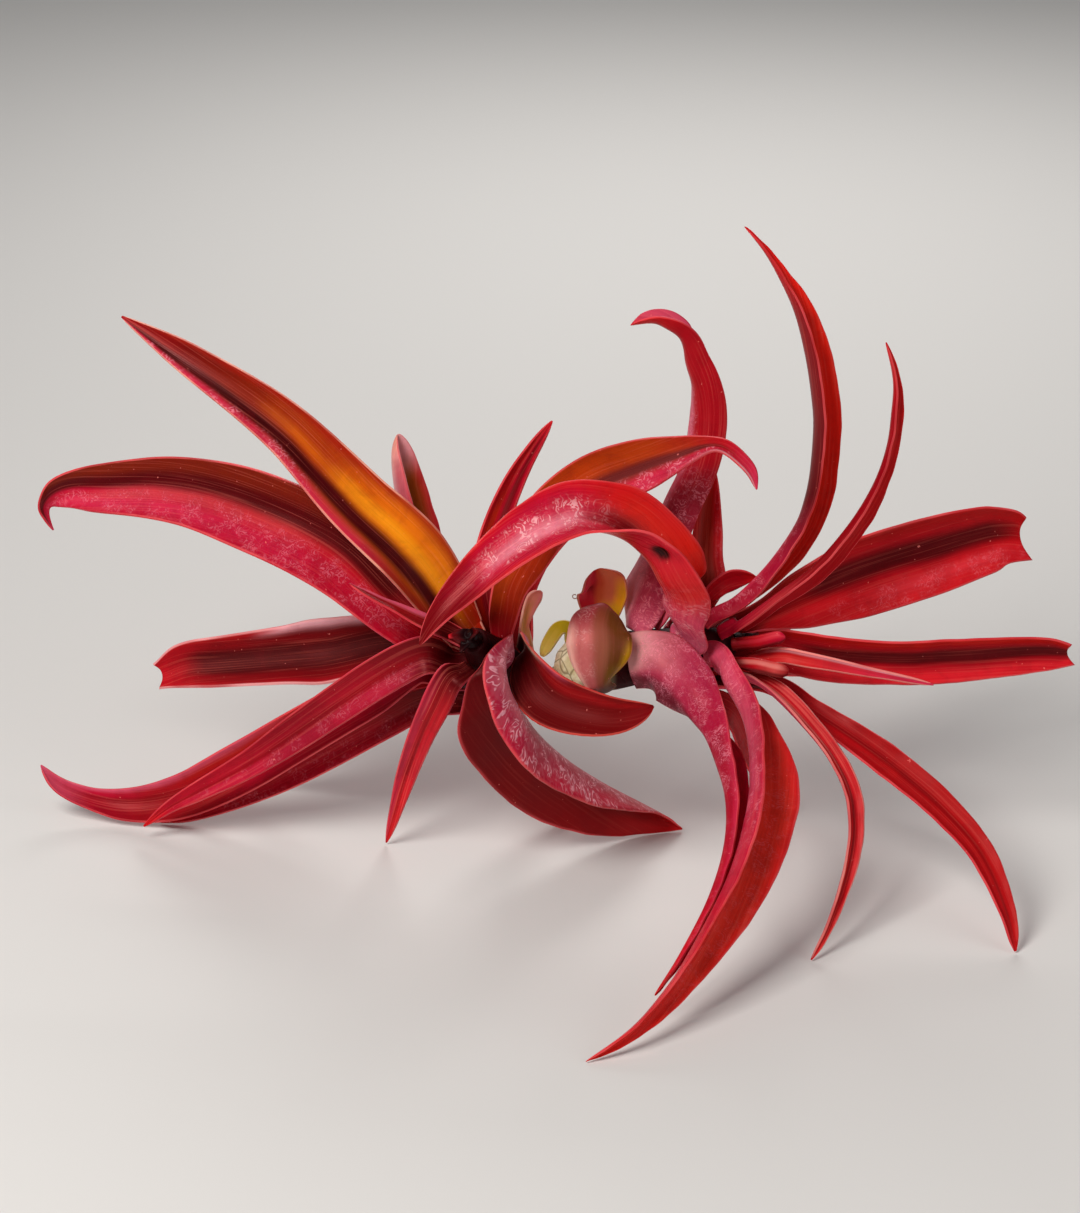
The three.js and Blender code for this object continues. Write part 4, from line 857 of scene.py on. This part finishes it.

# %% [markdown]
# The right rosette lies on its side, so it shows the pale outer faces of its leaves at the base,
# with the film of scales, and their red inner faces further out, with painted shade down the
# valleys of the blades. The overarching leaf catches the most light: a painted highlight runs down
# its middle, where its film is thickest.

# %% Paint the right rosette
leaf_looks.update({
    # Overarching leaf: the pale rose streak down its middle is a painted highlight with the
    # thickest film of scales over it, and the dark patch by its fold is painted shadow.
    "right_overarching_leaf": dict(
        coat=([(0.0, CRIMSON), (0.3, SCARLET), (0.6, CRIMSON), (0.85, DEEP), (1.0, WINE)],
              [(0.0, "#cc4c64"), (0.1, "#cc3448"), (0.2, "#d8240e"), (0.4, "#d41a1c"),
               (1.0, CRIMSON)]),
        patches=[(INNER, 0.05, 0.45, 0.3, 1.3, "#d81a0c", 0.95),
                 (INNER, 0.5, 0.9, -1.3, 1.3, CRIMSON, 0.8),
                 (INNER, 0.48, 0.8, -0.5, 0.5, ROSE, 0.6),
                 (INNER, 0.5, 0.74, -0.3, 0.25, "#f08c9c", 0.75),
                 (INNER, 0.3, 0.47, -0.1, 0.5, "#6a040a", 0.95),
                 (INNER, 0.3, 0.9, 0.85, 1.3, SCARLET, 0.8),
                 (INNER, 0.4, 0.9, -1.3, -0.85, SCARLET, 0.7),
                 (INNER, 0.82, 1.2, -1.3, 1.3, "#74060e", 0.85),
                 (OUTER, -0.1, 0.12, -1.3, 1.3, "#cc5070", 0.7),
                 (OUTER, 0.2, 0.45, -1.3, -0.2, CRIMSON, 0.6)],
        scales=[(INNER, 0.48, 0.78, -0.5, 0.6, 1.0), (OUTER, -0.1, 0.16, -1.3, 1.3, 0.5)],
        film="#ffbcc0", fineness=380.0, gloss=0.28),
    "right_crook_leaf": dict(
        coat=(CRIMSON_FACE,
              [(0.0, "#cc5a74"), (0.1, "#bc3450"), (0.3, "#a81c38"), (0.5, "#a80c1c"),
               (0.85, RED), (1.0, SCARLET)]),
        patches=[(OUTER, -0.1, 0.2, 0.0, 1.3, BLUSH, 0.65),
                 (OUTER, 0.1, 0.4, 0.6, 1.3, PINK, 0.5),
                 (OUTER, 0.45, 0.85, 0.5, 1.3, PINK, 0.7),
                 (OUTER, 0.5, 0.86, -1.3, 0.1, "#a00c18", 0.7),
                 (INNER, 0.7, 1.0, -1.3, 1.3, PINK, 0.6)],
        scales=[(OUTER, -0.1, 0.42, -1.3, 1.3, 0.9), (OUTER, 0.45, 0.8, 0.3, 1.3, 0.5)],
        fineness=520.0),
    "right_base_scale": dict(
        coat=(CRIMSON_FACE, [(0.0, PINK), (1.0, CRIMSON)])),
    "right_back_leaf": dict(
        coat=([(0.0, DEEP), (0.3, "#a82010"), (1.0, RED)], ROSE_BACK),
        patches=[(INNER, 0.2, 1.0, 0.5, 1.3, "#d41c28", 0.9),
                 (INNER, 0.2, 0.9, -0.7, 0.3, "#84200c", 0.7)],
        scales=[(INNER, 0.3, 1.0, 0.6, 1.1, 0.3)]),
    "right_tall_claw": dict(
        coat=([(0.0, DEEP), (0.2, "#dc1c12"), (0.8, "#e42010"), (1.0, SCARLET)],
              [(0.0, CRIMSON), (0.2, "#a41030"), (0.4, WINE), (0.75, DEEP), (1.0, SCARLET)]),
        patches=[(INNER, 0.25, 0.75, -0.2, 0.5, "#e43612", 0.5),
                 (OUTER, -0.1, 0.32, -0.4, 0.5, ROSE, 0.5)],
        scales=[(OUTER, -0.1, 0.3, -0.8, 0.8, 0.4)],
        fineness=520.0),
    "right_short_claw": dict(
        coat=([(0.0, DEEP), (0.2, RED), (0.8, "#d01c1c"), (1.0, SCARLET)],
              [(0.0, CRIMSON), (0.3, DEEP), (0.8, "#a00818"), (1.0, SCARLET)])),
    "right_upper_blade": dict(
        coat=([(0.0, WINE), (0.25, "#a8080e"), (0.6, RED), (1.0, "#b00a12")], ROSE_BACK),
        patches=[(INNER, 0.3, 0.98, -0.5, 0.15, NIGHT, 0.9),
                 (INNER, 0.2, 1.1, -1.3, -0.7, "#a80c0c", 0.8),
                 (INNER, 0.15, 1.1, 0.3, 1.3, "#cc1620", 0.95),
                 (INNER, 0.5, 0.95, 0.45, 0.7, "#e03a44", 0.6)],
        scales=[(INNER, 0.35, 1.0, 0.4, 0.98, 0.22)],
        fineness=600.0, lines=0.08, blunt=True),
    "right_level_blade": dict(
        coat=([(0.0, WINE), (0.3, RED), (1.0, "#9c0e18")], ROSE_BACK),
        patches=[(INNER, 0.3, 1.05, -0.45, 0.25, NIGHT, 0.9),
                 (INNER, 0.2, 1.1, -1.3, -0.7, "#cc160c", 0.8),
                 (INNER, 0.3, 1.1, 0.55, 1.3, "#d81c28", 0.9)],
        lines=0.08, blunt=True),
    # Thin leaf: the blush band is a painted highlight.
    "right_thin_leaf": dict(
        coat=([(0.0, RED), (0.4, "#cc2020"), (1.0, ROSE)], ROSE_BACK),
        patches=[(INNER, 0.2, 0.9, -0.95, -0.6, BLUSH, 0.7)],
        margin="#ff9a90"),
    "right_curl": dict(
        coat=(RED_FACE, [(0.0, DEEP), (0.5, RED), (1.0, CRIMSON)]),
        patches=[(OUTER, -0.1, 1.1, 0.0, 0.5, "#d03040", 0.6),
                 (OUTER, -0.1, 1.1, -1.3, -0.5, WINE, 0.8)]),
    "right_stub": dict(
        coat=(RED_FACE, [(0.0, DEEP), (0.5, RED), (0.8, "#d04a48"), (1.0, DEEP)]),
        patches=[(OUTER, 0.3, 0.9, 0.2, 0.7, "#e88a80", 0.6),
                 (OUTER, -0.1, 1.1, -1.3, -0.4, WINE, 0.8)]),
    # Sheath leaf: the dark maroon on the lower side of its base is painted shadow.
    "right_sheath_leaf": dict(
        coat=(CRIMSON_FACE,
              [(0.0, "#cc8484"), (0.05, "#b83a58"), (0.2, "#a41238"), (0.4, "#a40a2a"),
               (0.7, "#bc0c28"), (1.0, SCARLET)]),
        patches=[(OUTER, -0.2, 0.06, -0.2, 1.3, "#e8b8b0", 0.6),
                 (OUTER, -0.2, 0.34, -1.3, -0.35, "#5c0a1e", 0.9),
                 (OUTER, 0.3, 0.9, 0.85, 1.3, ROSE, 0.6)],
        scales=[(OUTER, -0.1, 0.5, -1.3, 1.3, 0.6), (OUTER, 0.4, 0.9, -1.3, 1.3, 0.18)],
        film="#f08ca0", fineness=760.0, lines=0.05),
    "right_front_leaf": dict(
        coat=([(0.0, DEEP), (0.3, "#d41820"), (0.7, "#dc1c18"), (1.0, "#d81c14")],
              [(0.0, ROSE), (0.2, "#b82040"), (0.5, CRIMSON), (1.0, SCARLET)]),
        patches=[(OUTER, -0.1, 0.4, -0.2, 0.8, PINK, 0.5),
                 (INNER, 0.25, 0.8, -0.9, -0.3, "#e63a26", 0.7)],
        scales=[(OUTER, -0.1, 0.5, -0.6, 1.0, 0.5), (INNER, 0.3, 0.8, -0.9, 0.0, 0.2)],
        fineness=600.0),
    "right_ribbon_leaf": dict(
        coat=([(0.0, WINE), (0.25, RED), (1.0, SCARLET)], ROSE_BACK),
        patches=[(INNER, 0.15, 0.55, -0.1, 0.2, "#e08078", 0.6),
                 (INNER, 0.4, 1.0, -0.3, 0.1, DEEP, 0.7)],
        margin="#f09088", margin_width=0.08, lines=0.25),
    "right_outer_leaf": dict(
        coat=([(0.0, NIGHT), (0.2, DEEP), (0.5, "#a8080e"), (1.0, "#c01014")], ROSE_BACK),
        patches=[(INNER, 0.3, 0.98, 0.1, 1.3, "#c01018", 0.7),
                 (INNER, 0.3, 0.95, -0.3, 0.0, WINE, 0.5)],
        lines=0.08),
})
print("with the right rosette:", len(leaf_looks), "looks")

# %% [markdown]
# The bracts round the bases are dry scales. They have faded from red to straw, lime and gold, and
# their edges are pale.

# %% Paint the bracts
LIME_FACE = [(0.0, LIME), (0.4, "#e6d428"), (1.0, "#f4e878")]

leaf_looks.update({
    "left_pale_bract": dict(
        coat=([(0.0, "#ffe8b8"), (0.5, "#f8bc78"), (1.0, "#ffa49c")],
              [(0.0, LIME), (0.4, "#f0b474"), (1.0, "#ffa498")]),
        patches=[(INNER, 0.1, 0.8, -0.6, 0.1, "#c8a04e", 0.4),
                 (INNER, 0.4, 1.1, 0.5, 1.3, "#ff9ca0", 0.7)],
        margin="#ffd0c0", deep="#d08060", lines=0.04),
    "base_hood_bract": dict(
        coat=([(0.0, CREAM), (1.0, PINK)],
              [(0.0, OLIVE), (0.15, "#b05a50"), (0.6, "#c07468"), (1.0, "#a03c40")]),
        patches=[(OUTER, 0.1, 0.9, -0.1, 1.3, "#b45458", 0.7),
                 (OUTER, 0.1, 0.8, 0.8, 1.4, "#ecb8a8", 0.8),
                 (OUTER, 0.75, 1.1, -0.3, 1.3, "#8c1c2c", 0.8),
                 (OUTER, -0.2, 0.95, -1.3, 0.2, "#74401e", 0.7),
                 (OUTER, -0.2, 0.95, -1.3, -0.25, "#5a3208", 0.9),
                 (OUTER, -0.1, 0.6, -1.3, -0.8, "#d0a010", 0.9),
                 (OUTER, -0.2, 0.15, -1.3, 0.5, "#34240c", 0.9),
                 (OUTER, 0.1, 0.4, -0.9, -0.3, "#806408", 0.5)],
        scales=[(OUTER, 0.1, 0.95, 0.2, 1.0, 0.25)],
        margin="#e8a08c", film="#f0c8c0", deep="#8c3c3c", fineness=520.0, lines=0.03),
    "base_folded_bract": dict(
        coat=([(0.0, LIME), (0.4, "#e0703a"), (1.0, "#e04a34")], [(0.0, LIME), (1.0, ROSE)]),
        patches=[(INNER, 0.3, 1.2, -1.4, -0.25, "#cc1236", 0.95),
                 (INNER, 0.6, 1.0, -0.95, -0.6, "#ee5a70", 0.6),
                 (INNER, 0.4, 0.98, 0.1, 0.9, "#f08058", 0.85),
                 (INNER, 0.1, 0.75, 0.6, 1.3, GOLD, 1.0),
                 (INNER, -0.1, 0.5, 0.0, 1.3, "#e0b020", 0.8)],
        margin="#f6a890", deep="#a03020", lines=0.03),
    "base_green_bract": dict(
        coat=(LIME_FACE, LIME_FACE),
        margin="#faf0b0", deep="#a8a028", lines=0.06),
})
print("with the bracts:", len(leaf_looks), "looks")

# %% [markdown]
# These dents are the leaves' own. The overarching leaf has a small hollow with painted shade in
# it, a crease and the ridge of its lip. The other leaves have one crease or ridge each, as folded
# in the bud, and the creases of the narrow and the lower leaf hold painted shade. The two bracts
# have two each, and the first fold of the folded bract holds painted shade.

# %% Choose the dents
DENTS = {
    "right_overarching_leaf": [(0.305, -0.7, 0.0056, 0.0023, 0.002, 1),
                               (0.24, -0.5, 0.014, 0.0018, -0.0008, 0),
                               (0.6, 0.1, 0.03, 0.003, -0.0007, 0)],
    "right_upper_blade": [(0.62, 0.62, 0.055, 0.0018, 0.0007, 0)],
    "right_level_blade": [(0.6, 0.7, 0.05, 0.0014, 0.0005, 0)],
    "left_narrow_leaf": [(0.5, -0.1, 0.04, 0.0014, -0.0008, 0.3)],
    "left_lower_leaf": [(0.5, 0.0, 0.06, 0.0022, -0.0012, 0.4)],
    "left_level_leaf": [(0.5, 0.8, 0.035, 0.0016, 0.0008, 0)],
    "left_hooked_leaf": [(0.6, 0.0, 0.06, 0.003, -0.001, 0)],
    "left_arching_leaf": [(0.74, 0.85, 0.02, 0.0016, 0.0009, 0)],
    "base_folded_bract": [(0.72, -0.45, 0.004, 0.0018, -0.0014, 0.5),
                          (0.72, -0.85, 0.005, 0.0015, 0.0009, 0)],
    "base_hood_bract": [(0.8, 0.3, 0.004, 0.003, 0.0007, 0),
                        (0.4, 0.4, 0.006, 0.0025, -0.0006, 0)],
}
print("leaves with dents:", len(DENTS))

# %% [markdown]
# The leaves are then dressed one by one. The large ones get one more level of refinement, so that
# the points of every leaf are about 0.4 to 1.2 mm apart. A leaf with no look of its own is one that
# the rosettes mostly hide, and has the plain red one.

# %% Dress the leaves
LARGE = 250
DETAIL, MORE_DETAIL = 2, 3
SEED_STEP = 3.7
LUMPS = ("forked_stem", "left_heart", "right_heart")


def dress(name, seed, coat, patches=(), scales=(), blunt=False, **finish):
    large = len(nodes[name].data.polygons) > LARGE
    skin = refine_blade(copy_of(name), MORE_DETAIL if large else DETAIL, blunt)
    make_uneven(skin, seed, DENTS.get(name, ()))
    paint_blade(skin, *coat, patches, scales, seed)
    skin.data.materials.append(leaf_finish(name + "_finish", seed=seed, **finish))
    print(name, len(skin.data.polygons), "faces")


for place, name in enumerate(sorted(set(nodes) - set(LUMPS))):
    dress(name, SEED_STEP * place, **leaf_looks.get(name, PLAIN_LOOK))

# %% [markdown]
# The stem and the two hearts are grown lumps rather than blades. A voxel remesh makes one even
# skin of each, and a little smoothing takes its facets away.

# %% Round a lump
RELAX = 0.5


def round_lump(node, voxel, passes):
    piece = copy_of(node)
    remesh = piece.modifiers.new("even", "REMESH")
    remesh.mode = "VOXEL"
    remesh.voxel_size = voxel
    bpy.ops.object.modifier_apply(modifier=remesh.name)
    relax = piece.modifiers.new("relax", "SMOOTH")
    relax.iterations = passes
    relax.factor = RELAX
    bpy.ops.object.modifier_apply(modifier=relax.name)
    bpy.ops.object.shade_smooth()
    print(node, len(piece.data.polygons), "faces")
    return piece


print("each smoothing pass moves a point", RELAX, "of the way to its neighbours")

# %% [markdown]
# The stem is pale only where it shows between the rosettes, and painted shade makes it almost black
# where the leaves stand on it. Its pale skin is cracked: a Voronoi texture gives the cells, and the
# distance to their edges gives the cracks.

# %% Dress the stem
PALE_MIDDLE = 0.0075
PALE_HALF = 0.0115
PALE_SOFT = 0.002
CRACK_CELLS = 130.0
CRACK_WIDTH = 0.04
CRACK_STRENGTH = 0.7
CRACK_RELIEF, CRACK_DEPTH = 0.5, 0.0004
BARK_TONES = 180.0
TONE_EDGES = (0.35, 0.65)
STEM_VOXEL, STEM_PASSES = 0.0005, 6
BARK_DARK, BARK_LIGHT, CRACK = "#bcae84", "#e6dcba", "#6a5a38"


def stem_finish():
    material, tree, shader = new_finish("stem_finish", Roughness=0.6, Specular_IOR_Level=0.1)
    where = object_place(tree)
    axes = tree.nodes.new("ShaderNodeSeparateXYZ")
    feed(tree, axes.inputs[0], where)
    off_middle = number(tree, "ABSOLUTE", number(tree, "SUBTRACT", axes.outputs["X"], PALE_MIDDLE))
    pale = stretch(tree, off_middle, PALE_HALF + PALE_SOFT, PALE_HALF - PALE_SOFT)
    cracks = tree.nodes.new("ShaderNodeTexVoronoi")
    cracks.feature = "DISTANCE_TO_EDGE"
    cracks.inputs["Scale"].default_value = CRACK_CELLS
    feed(tree, cracks.inputs["Vector"], where)
    crack = stretch(tree, cracks.outputs["Distance"], CRACK_WIDTH, 0.0, to_high=CRACK_STRENGTH)
    noise_here = cloud(tree, where, BARK_TONES, detail=4.0, roughness=0.6, twist=0.4)
    tone = stretch(tree, noise_here, *TONE_EDGES)
    bark = blend(tree, crack, blend(tree, tone, BARK_DARK, BARK_LIGHT), CRACK)
    # outside the pale band, the stem gets near-black painted shade
    feed(tree, shader.inputs["Base Color"], blend(tree, pale, NIGHT, bark))
    relief(tree, shader, number(tree, "MULTIPLY", crack, -1.0), CRACK_RELIEF, CRACK_DEPTH)
    return material


stem_skin = round_lump("forked_stem", STEM_VOXEL, STEM_PASSES)
stem_skin.data.materials.append(stem_finish())

# %% [markdown]
# The hearts have near-black painted shade in the depth of the rosette and are red at the tips of
# their young blades. How far a point reaches out from the stem is kept on the mesh, and the colour
# follows it.

# %% Dress the hearts
HEART_VOXEL, HEART_PASSES = 0.0003, 3
HEART_SHADE = "#1c0104"
WINE_FROM_TO = (0.6, 0.88)
RED_FROM_TO = (0.9, 1.0)


def heart_finish(name):
    material, tree, shader = new_finish(name, Roughness=0.45, Specular_IOR_Level=0.15)
    reach = attribute(tree, "reach")
    # near-black painted shade deep in the rosette, then wine red, then red at the tips
    colour = blend(tree, stretch(tree, reach, *WINE_FROM_TO), HEART_SHADE, WINE)
    colour = blend(tree, stretch(tree, reach, *RED_FROM_TO), colour, RED)
    feed(tree, shader.inputs["Base Color"], colour)
    return material


for name in ("left_heart", "right_heart"):
    heart = round_lump(name, HEART_VOXEL, HEART_PASSES)
    away = np.array([off_stem(vertex.co) for vertex in heart.data.vertices])
    write_attribute(heart.data, "reach", "FLOAT", away / away.max())
    heart.data.materials.append(heart_finish(name + "_finish"))

# %% [markdown]
# One dry hair curls from the edge of the folded bract. It is a path that follows the points of a
# tightening spiral, in the plane that faces the camera, and a round section makes a wire of it. Its
# foot is the leftmost point of the bract at its height, so that it grows from there.

# %% Curl a hair
HAIR_HEIGHT = 0.0880
HAIR_NEAR = 0.0010
HAIR_THICKNESS = 0.00032
CURL_RADIUS = 0.0009
CURL_POINTS = 10
CURL_TURN = math.radians(330)
CURL_TIGHTENS = 0.45

bract = bpy.data.objects["base_folded_bract_skin"].data
edge = [vertex.co for vertex in bract.vertices if abs(vertex.co.z - HAIR_HEIGHT) < HAIR_NEAR]
foot = min(edge, key=lambda point: point.x)
picture_up = Vector((0, math.sin(CAMERA_TILT), math.cos(CAMERA_TILT)))

bpy.ops.object.select_all(action="DESELECT")
bpy.ops.curve.primitive_nurbs_path_add()
hair = bpy.context.object
hair.name = "base_curled_hair"
spline = hair.data.splines[0]
spline.points.add(CURL_POINTS - len(spline.points))
for step, point in enumerate(spline.points):
    part = step / (CURL_POINTS - 1)
    radius = CURL_RADIUS * (1 - CURL_TIGHTENS * part)
    turn = -CURL_TURN * part
    inward = Vector((radius * math.cos(turn) - CURL_RADIUS + HAIR_THICKNESS, 0, 0))
    point.co = (*(foot + inward + radius * math.sin(turn) * picture_up), 1)
hair.data.bevel_depth = HAIR_THICKNESS / 2
hair.data.use_fill_caps = True
bpy.ops.object.convert(target="MESH")
bpy.ops.object.shade_smooth()
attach(hair, "root")
hair_finish, *_ = new_finish("hair_finish", Base_Color="#c8a890")
hair.data.materials.append(hair_finish)
print("hair:", len(hair.data.polygons), "faces")

# %% [markdown]
# The plant lies on a plain pale floor. It is wide enough to show no edge in a view that looks down
# on the plant, and lies a hair below it, so that the two don't flicker where they touch.

# %% Lay the floor
FLOOR_WIDTH = 30
FLOOR_DROP = 0.0004

bpy.ops.object.select_all(action="DESELECT")
bpy.ops.mesh.primitive_plane_add(size=FLOOR_WIDTH, location=(0, 0, -FLOOR_DROP))
floor = bpy.context.object
floor.name = "floor"
floor_finish, *_ = new_finish("floor_finish", Base_Color="#d9d7d4", Roughness=0.85)
floor.data.materials.append(floor_finish)
print("floor:", FLOOR_WIDTH, "m wide")

# %% [markdown]
# The light is that of a studio: a large key from the upper left, a weaker fill from the right, one
# from behind that edges the leaves, and pale air all round. Each light is a square that looks at
# the middle of the plant.

# %% Light the studio
AIR_COLOUR = (0.9, 0.92, 0.95, 1)
AIR_STRENGTH = 0.16


def add_light(name, place, size, power, colour):
    bpy.ops.object.light_add(type="AREA", location=place)
    light = bpy.context.object
    light.name = name
    light.data.size = size
    light.data.energy = power
    light.data.color = colour
    light.rotation_euler = (AIM - Vector(place)).to_track_quat("-Z", "Y").to_euler()
    print(name, "light:", power, "W")


add_light("key", (-0.42, -0.5, 0.78), size=0.40, power=8.5, colour=(1, 0.97, 0.94))
add_light("fill", (0.8, -0.5, 0.4), size=0.6, power=1.8, colour=(1, 0.96, 0.96))
add_light("rim", (0.1, 0.75, 0.55), size=0.4, power=3.0, colour=(1, 0.98, 0.96))

world = bpy.data.worlds.new("studio_air")
bpy.context.scene.world = world
world.use_nodes = True
air = world.node_tree.nodes["Background"]
air.inputs["Color"].default_value = AIR_COLOUR
air.inputs["Strength"].default_value = AIR_STRENGTH
bpy.context.scene.view_settings.view_transform = "Standard"

# %% [markdown]
# The view layer is brought up to date with every new piece. The dressed plant has to stay
# inside the box of its solids.

# %% Update the view layer
bpy.context.view_layer.update()
